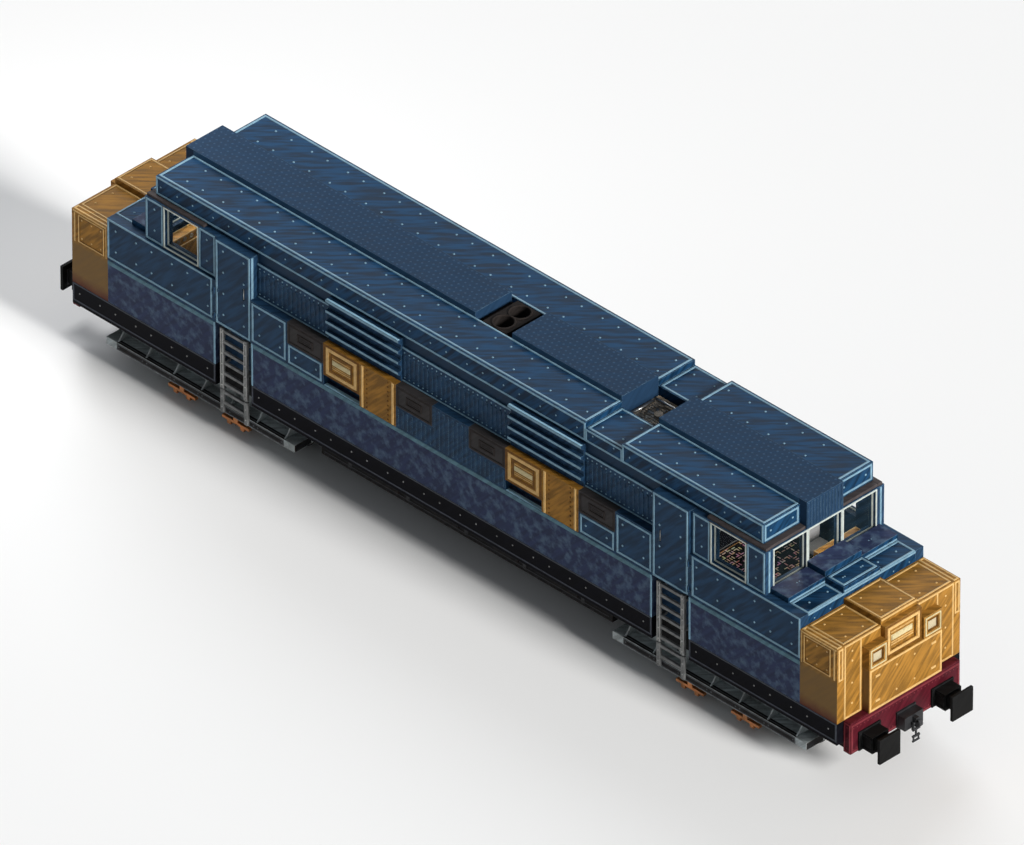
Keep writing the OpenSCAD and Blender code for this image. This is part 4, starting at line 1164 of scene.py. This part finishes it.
class LOCO_OT_doors(LocoOperator, bpy.types.Operator):
    """Bead, rivet and handle the four crew doors"""
    bl_idname = "loco.doors"
    bl_label = "Doors"

    def make(self, context, trim):
        w, h, r = trim.bead, trim.rise, trim.rivet
        lo, hi = low("door_front_left"), high("door_front_left")
        x0, x1, z0, z1 = lo.x + 0.02, LADDER_OUT - 0.03, lo.z + 0.02, hi.z - 0.015
        frame_part = borders([[x0, x1, z0, z1]], w, HALF_W, h)
        rows = WAIST_Z + np.array([0.29, 0.79, 1.29, 1.79])
        heads = riveted([LADDER_IN + 0.2, LADDER_IN + 0.77], rows, HALF_W, r)
        handle = tube([(LADDER_IN + 0.21, HALF_W - 0.012, WAIST_Z + 0.915),
                       (LADDER_IN + 0.21, HALF_W - 0.012, WAIST_Z + 1.165)], 0.009, 12)
        edge = bars([[HALF_W - 0.075, HALF_W - 0.015, DECK_Z + 0.02, z1]], -lo.x, 0.004)
        for name, e, s in [(a + b, e, s) for a, e in ENDS_BY_NAME.items()
                           for b, s in (("_left", 1), ("_right", -1))]:
            body = "door_" + name
            piece(body + "_beads", [lay(frame_part, "side", e, s)], "line", body)
            piece(body + "_rivets", [lay(heads, "side", e, s)], "line", body, smooth=True)
            piece(body + "_edge", [lay(edge, "end", -e, s)], "line", body)
            piece(body + "_grip", [(handle[0] * (e, s, 1), handle[1])], "steel",
                  body, smooth=True, merge=True)


def at_cabs(parts):
    """Parts made for the front cab, and the same turned round for the rear cab."""
    return list(parts) + [(p * (-1, -1, 1), f) for p, f in parts]


class LOCO_OT_cabs(LocoOperator, bpy.types.Operator):
    """Fit the cabs out: padded seats, desk edges, dials, levers and indicator panels"""
    bl_idname = "loco.cabs"
    bl_label = "Cab fittings"

    def make(self, context, trim):
        self.seats(high("cab_floors").z)
        self.desks(8.02 * BAY, 8.44 * BAY, DECK_Z - 0.23, DECK_Z - 0.06)
        self.indicators(5.91 * BAY)
        bottle = [(0.0005, 0.02), (0.052, 0.02), (0.055, 0.03), (0.055, 0.36), (0.04, 0.40),
                  (0.018, 0.41), (0.016, 0.43), (0.0005, 0.43)]
        place = (8.10 * BAY, -0.46, high("cab_floors").z - 0.02)
        piece("fire_bottles", at_cabs([turned(bottle, place, "z", 24)]), "red",
              smooth=True, merge=True)

    def seats(self, floor):
        """Two padded seats in each cab, on turned stands."""
        seat_x, seat_y = 7.54 * BAY, high("cab_seats").y - 0.23
        seats, stands = [], []
        for s in SIDES:
            c = (seat_x, s * seat_y)
            seats.append(cushion((*c, floor + 0.475), (0.45, 0.45, 0.105), (0.004, 0.004, 0.012)))
            seats.append(cushion((c[0] - 0.178, c[1], floor + 0.755), (0.096, 0.42, 0.475),
                                 (0.008, 0.004, 0.006)))
            foot = [(0.001, 0.002), (0.168, 0.002), (0.170, 0.012), (0.160, 0.026), (0.075, 0.034),
                    (0.062, 0.06), (0.058, 0.395), (0.11, 0.418), (0.11, 0.424), (0.001, 0.424)]
            stands.append(turned(foot, (*c, floor), "z", 28))
            stands.append(block((c[0] - 0.20, c[0] - 0.13), (c[1] - 0.03, c[1] + 0.03),
                                (floor + 0.47, floor + 0.60), 0.002))
        soft = Graph("Chair cloth")
        weave = soft.noise(soft.place(), 260.0, 2.0)
        soft.set(Base_Color=soft.blend(weave, (0.17, 0.17, 0.175), (0.28, 0.28, 0.285)),
                 Roughness=0.85, Sheen_Weight=0.3, Normal=soft.bump(weave, 0.3, 0.002))
        pads = piece("chair_pads", at_cabs(seats), soft.material, smooth=True, merge=True)
        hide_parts("cab_seats")
        piece("chair_stands", at_cabs(stands), "under", merge=True)

    def desks(self, x0, x1, top, con_top):
        """Edges, dials and levers of the desks; con_top is the top of the dials' console."""
        rests = ((x0, x1, -0.348, 1.405, 0.022, top), (x0, x1, -1.405, -0.57, 0.022, top - 0.13),
                 (8.06 * BAY, 8.29 * BAY, 0.145, 1.293, 0.018, con_top))
        edges = [lay(borders([[a + 0.004, b - 0.004, c, d]], wide, z, 0.008), "top")
                 for a, b, c, d, wide, z in rests]
        piece("desk_edges", at_cabs(edges), "amber_line")
        dials, faces, needles = [], [], []
        for k, y in enumerate(np.linspace(0.26, 1.17, 6)):
            c = (8.06 * BAY, y, con_top - 0.075)
            dials.append(turned([(0.038, 0.002), (0.045, -0.003), (0.046, -0.011), (0.038, -0.013),
                                 (0.036, -0.004)], c, "x", 24))
            faces.append(turned([(0.0005, 0.002), (0.0375, 0.002), (0.0375, -0.006),
                                 (0.0005, -0.006)], c, "x", 24))
            a = 0.6 + 0.8 * k
            needles.append(tube([(c[0] - 0.0075, c[1], c[2]),
                                 (c[0] - 0.0075, c[1] + 0.026 * math.sin(a),
                                  c[2] + 0.026 * math.cos(a))], 0.002, 6))
        piece("dial_rims", at_cabs(dials), "steel", smooth=True, merge=True)
        piece("dial_faces", at_cabs(faces), "cream", merge=True)
        piece("dial_needles", at_cabs(needles), "red", merge=True)
        levers = []
        for y, lean in ((0.30, 0.0), (0.52, 0.03), (0.95, -0.02), (1.18, 0.02)):
            base = (x0 + 0.12, y, top)
            levers.append(turned([(0.0005, -0.002), (0.034, -0.002), (0.030, 0.016), (0.012, 0.022),
                                  (0.0005, 0.022)], base, "z", 20))
            levers.append(tube([base, (x0 + 0.10 + lean, y, top + 0.10)], 0.007, 8))
            levers.append(turned([(0.0005, 0.085), (0.012, 0.088), (0.018, 0.102), (0.014, 0.118),
                                  (0.0005, 0.123)], (x0 + 0.10 + lean, y, top), "z", 16))
        piece("cab_levers", at_cabs(levers), "under", smooth=True, merge=True)

    def indicators(self, wall_x):
        """A framed panel of small lamps on the cab's rear wall, some left out and four tones."""
        spots = grid(np.linspace(-0.42, 0.40, 11), np.linspace(3.30, 3.96, 8))
        k = np.arange(len(spots))
        wide = 0.018 + 0.022 * ((k * 7) % 5 > 1)
        rects = np.stack([spots[:, 0] - wide, spots[:, 0] + wide,
                          spots[:, 1] - 0.012, spots[:, 1] + 0.012], 1)
        keep = (k * 5) % 7 != 3
        tones = [("red", (0.5, 0.05, 0.03)), ("amber", (0.55, 0.30, 0.05)),
                 ("green", (0.07, 0.32, 0.12)), ("white", (0.62, 0.6, 0.5))]
        materials = []
        for name, colour in tones:
            g = Graph("Indicator " + name)
            g.set(Base_Color=(*colour, 1), Roughness=0.25,
                  Emission_Color=(*colour, 1), Emission_Strength=0.12)
            materials.append(g.material)
        tone = ((k * 11) % 4)[keep]
        lamps = lay(bars(rects[keep], wall_x, 0.008, 0.3), "end")
        piece("indicator_lamps", at_cabs([lamps]), materials,
              pick=np.concatenate([np.repeat(tone, 6)] * 2))
        dark = lay(bars([[-0.49, 0.49, 2.66, 4.14]], wall_x, 0.003), "end")
        piece("indicator_panels", at_cabs([dark]), "black")
        rims = [lay(borders([[-0.47, 0.47, 3.25, 4.03], [-0.47, 0.47, 2.72, 3.19]], 0.02, wall_x,
                            0.006), "end")]
        piece("indicator_frames", at_cabs(rims), "ladder")


class LOCO_OT_ladders(LocoOperator, bpy.types.Operator):
    """Bead and bolt the stiles of the body ladders, and bolt the bogie steps"""
    bl_idname = "loco.ladders"
    bl_label = "Ladders"

    def make(self, context, trim):
        lo, hi = low("ladders"), high("ladders")
        outer = hi.y
        rungs = hi.z - 0.09 - 0.25 * BAY * np.arange(6)
        stiles = [[k * BAY, (k + 0.015) * BAY, lo.z + 0.02, hi.z - 0.02]
                  for k in (5.64, 5.70, 6.285, 6.345)]
        parts = on_quarters(bars(stiles, outer, 0.006))
        heads = domes(grid([5.678 * BAY, 6.322 * BAY], rungs), outer, 0.018, 0.010)
        parts += on_quarters(heads)
        piece("ladder_trim", parts, "steel")
        for name in ENDS_BY_NAME:
            node = "bogie_steps_" + name
            a, b = low(node), high(node)
            heads = domes(grid([a.x + 0.045, b.x - 0.045], [a.z + 0.12, a.z + 0.37]), b.y, 0.016, 0.009)
            piece(node + "_bolts", on_sides(heads), "steel", "bogie_" + name)


FRAME_Y, SHELF_Z = 1.30, 0.73           # a bogie frame's panels, and the shelf at their foot
AXLE_STEP, PANEL_STEP = 1.85, 0.775     # from axle to axle, and from rib to rib
AXLE_CAP = ((0.001, -0.004), (0.105, -0.004), (0.105, 0.016), (0.09, 0.026), (0.05, 0.026),
            (0.045, 0.034), (0.001, 0.036))
BRAKE_SHOE = ((0.583, 0.0), (0.632, 0.0), (0.632, 0.075), (0.583, 0.075))
RIM_RING = ((0.50, 0.926), (0.535, 0.926), (0.535, 0.937), (0.528, 0.942), (0.507, 0.942),
            (0.50, 0.937))


def circle(x, z, radius, count):
    """Places spaced round a circle."""
    t = np.arange(count) * 2 * math.pi / count
    return np.stack([x + radius * np.cos(t), z + radius * np.sin(t)], 1)


def outwards(profile, side):
    """A turned profile whose heights point out of one side."""
    return [(a, side * b) for a, b in profile]


class LOCO_OT_bogies(LocoOperator, bpy.types.Operator):
    """Rib the bogie frames, cover and bolt the axle boxes, and dress wheels and brakes"""
    bl_idname = "loco.bogies"
    bl_label = "Bogies"

    def make(self, context, trim):
        for name, e in ENDS_BY_NAME.items():
            x = e * BOGIE_X
            axles = (x - AXLE_STEP, x, x + AXLE_STEP)
            self.frame(name, "bogie_" + name, x)
            self.boxes(name, "bogie_" + name, x, axles)
            self.brakes("bogie_" + name, axles)
        for n in range(1, 7):
            self.wheels("wheelset_%d" % n)

    def frame(self, name, body, cx):
        """Sloping ribs on the shelf, and a dark rim with lips and bolts."""
        f0, f1 = low("bogie_frame_" + name), high("bogie_frame_" + name)
        rim_y, x0, x1 = f1.y, cx - 2.33, cx + 2.33
        ribs = []
        for x in cx + PANEL_STEP * np.arange(-3, 4):
            rib, _ = block((x - 0.015, x + 0.015), (FRAME_Y - 0.01, rim_y - 0.02),
                           (SHELF_Z - 0.004, f1.z - 0.06), 0)
            rib[6:, 1:] = rim_y - 0.10, SHELF_Z + 0.07
            ribs += [(rib * (1, s, 1), [BOX if s > 0 else BOX[:, ::-1]]) for s in SIDES]
        piece(body + "_ribs", ribs, "bogie", body)
        lips = on_sides(borders([[x0, x1, f0.z + 0.012, SHELF_Z - 0.012]], 0.03, rim_y, 0.010))
        lips += both(bars([[x0, x1, rim_y - 0.065, rim_y - 0.04]], SHELF_Z, 0.008), "top", ends=(1,))
        piece(body + "_lips", lips, "bogie_line", body)
        dark = on_sides(bars([[x0 + 0.03, x1 - 0.03, f0.z + 0.042, SHELF_Z - 0.042]], rim_y, 0.005))
        dark += both(bars([[x0 - 0.015, x1 + 0.015, rim_y - 0.11, rim_y - 0.004]], SHELF_Z,
                          0.004), "top", ends=(1,))
        ends = bars([[1.16, rim_y - 0.006, f0.z + 0.006, SHELF_Z - 0.006]], f1.x - cx, 0.003)
        dark += [shifted(part, (cx, 0, 0)) for part in on_corners(ends)]
        piece(body + "_rims", dark, "under", body)
        panels = cx + PANEL_STEP * (np.arange(-3, 3) + 0.5)
        low_row = grid((panels[:, None] + (-0.33, 0.33)).ravel(), [0.5 * (f0.z + SHELF_Z)])
        high_rows = grid(cx + PANEL_STEP * np.arange(-3, 3) + 0.38, [SHELF_Z + 0.12, f1.z - 0.08])
        piece(body + "_bolts", on_sides(domes(low_row, rim_y, 0.022, 0.014))
              + on_sides(domes(high_rows, FRAME_Y, 0.024, 0.014)), "bogie_line",
              body, smooth=True)

    def boxes(self, name, body, cx, axles):
        """A bolted cover on each axle box, and the bolts of the brake brackets."""
        b0, b1 = low("axle_boxes_" + name), high("axle_boxes_" + name)
        z = 0.5 * (b0.z + b1.z)
        covers = []
        for x in axles:
            covers += [turned(outwards(AXLE_CAP, s), (x, s * b1.y, z), "y", 28) for s in SIDES]
            covers += on_sides(domes(circle(x, z, 0.077, 6), b1.y + 0.024, 0.009, 0.008, 6))
        piece(body + "_box_covers", covers, "forged", body, merge=True)
        foot = low("brake_brackets_" + name).z
        heads = grid([cx - 0.75, cx + 0.75], [foot + 0.05, foot + 0.30, foot + 0.46])
        piece(body + "_bracket_bolts",
              on_sides(domes(heads, high("brake_brackets_" + name).y, 0.016, 0.010)),
              "steel", body)

    def brakes(self, body, axles):
        """A shoe on both sides of each wheel, hung from the frame.

        A shoe is turned about y, so its angle runs from z towards x.
        """
        axle_z = 0.5 * (low("wheelset_1").z + high("wheelset_1").z)
        blocks, hangers = [], []
        for x in axles:
            for s, k in [(s, k) for s in SIDES for k in ENDS]:
                inner_y = s * 0.852 - (0.075 if s < 0 else 0)
                start = math.pi / 2 * k - 0.30 + 0.10 * k
                blocks.append(turned(BRAKE_SHOE, (x, inner_y, axle_z), "y", 8, start, 0.6))
                hangers.append(tube([(x + k * 0.64, s * 0.89, axle_z - 0.05),
                                     (x + k * 0.665, s * 0.89, axle_z + 0.12),
                                     (x + k * 0.665, s * 0.92, SHELF_Z + 0.02)], 0.018, 8))
        piece(body + "_brake_blocks", blocks, "under", body, merge=True)
        piece(body + "_brake_hangers", hangers, "under", body, smooth=True, merge=True)

    def wheels(self, body):
        """A ring on each wheel's rim and bolts round its hub."""
        lo, hi = low(body), high(body)
        x, z = 0.5 * (lo.x + hi.x), 0.5 * (lo.z + hi.z)
        rings = [turned(outwards(RIM_RING, s), (x, 0, z), "y", 64) for s in SIDES]
        rings += on_sides(domes(circle(x, z, 0.135, 8), 0.935, 0.018, 0.012, 8))
        piece(body + "_rings", rings, "forged", body, merge=True)


class LOCO_OT_underframe(LocoOperator, bpy.types.Operator):
    """Strap the tank, and run and clip its pipes"""
    bl_idname = "loco.underframe"
    bl_label = "Underframe"

    def make(self, context, trim):
        lo, hi = low("centre_tank"), high("centre_tank")
        face_y = 1.25           # the straps lie on the tank's side
        straps = [[x - 0.05, x + 0.05, lo.z + 0.06, hi.z - 0.22] for x in (-3.2, -1.6, 0, 1.6, 3.2)]
        parts = on_sides(bars(straps, face_y, 0.014))
        seams = [[-3.92, 3.92, z, z + 0.03] for z in (lo.z + 0.08, hi.z - 0.28)]
        parts += on_sides(bars(seams, face_y, 0.010))
        heads = grid([-3.2, -1.6, 0, 1.6, 3.2], [lo.z + 0.1, hi.z - 0.27])
        parts += on_sides(domes(heads, face_y + 0.012, 0.022, 0.014))
        piece("tank_straps", parts, "forged")
        pipes = []
        for s in SIDES:
            y = s * 1.42
            pipes.append(tube([(-3.9, y, 1.11), (-1.0, y, 1.11), (1.0, y, 1.11), (3.9, y, 1.11)],
                              0.032, 12))
            y = s * 1.52
            pipes.append(tube([(-3.7, y, 1.06), (0.0, y, 1.06), (3.7, y, 1.06)], 0.022, 12))
        piece("long_pipes", pipes, "under", smooth=True, merge=True)
        clips = []
        for x in np.arange(-3.5, 3.6, 1.0):
            for s in SIDES:
                a, b = sorted((s * 1.37, s * 1.55))
                clips.append(block((x - 0.02, x + 0.02), (a, b), (1.02, 1.157), 0.002))
        piece("pipe_clips", clips, "under")


OPERATORS = (
    ("Stage and finishes", (LOCO_OT_stage, LOCO_OT_finishes)),
    ("Body", (LOCO_OT_side_trim, LOCO_OT_side_sheets, LOCO_OT_windows, LOCO_OT_roof,
              LOCO_OT_doors)),
    ("Ends", (LOCO_OT_noses, LOCO_OT_buffing)),
    ("Cabs and running gear", (LOCO_OT_cabs, LOCO_OT_ladders, LOCO_OT_bogies,
                               LOCO_OT_underframe)),
)


class LOCO_PT_panel(bpy.types.Panel):
    """Sizes, colours and makers of the locomotive's fittings"""
    bl_idname = "LOCO_PT_panel"
    bl_label = "Locomotive"
    bl_space_type = "VIEW_3D"
    bl_region_type = "UI"
    bl_category = "Locomotive"

    def draw(self, context):
        layout = self.layout
        for group in (context.scene.loco_trim, context.scene.loco_colours):
            box = layout.box()
            for key in group.__annotations__:
                box.prop(group, key)
        for title, makers in OPERATORS:
            layout.label(text=title)
            for maker in makers:
                layout.operator(maker.bl_idname)


CLASSES = (LocoTrim, LocoColours, *(m for _, makers in OPERATORS for m in makers), LOCO_PT_panel)


def register():
    for cls in CLASSES:
        bpy.utils.register_class(cls)
    bpy.types.Scene.loco_trim = PointerProperty(type=LocoTrim)
    bpy.types.Scene.loco_colours = PointerProperty(type=LocoColours)


def unregister():
    del bpy.types.Scene.loco_colours
    del bpy.types.Scene.loco_trim
    for cls in reversed(CLASSES):
        bpy.utils.unregister_class(cls)


def main():
    register()
    for _, makers in OPERATORS:
        for maker in makers:
            section, name = maker.bl_idname.split(".")
            getattr(getattr(bpy.ops, section), name)()


if __name__ == "__main__":
    main()
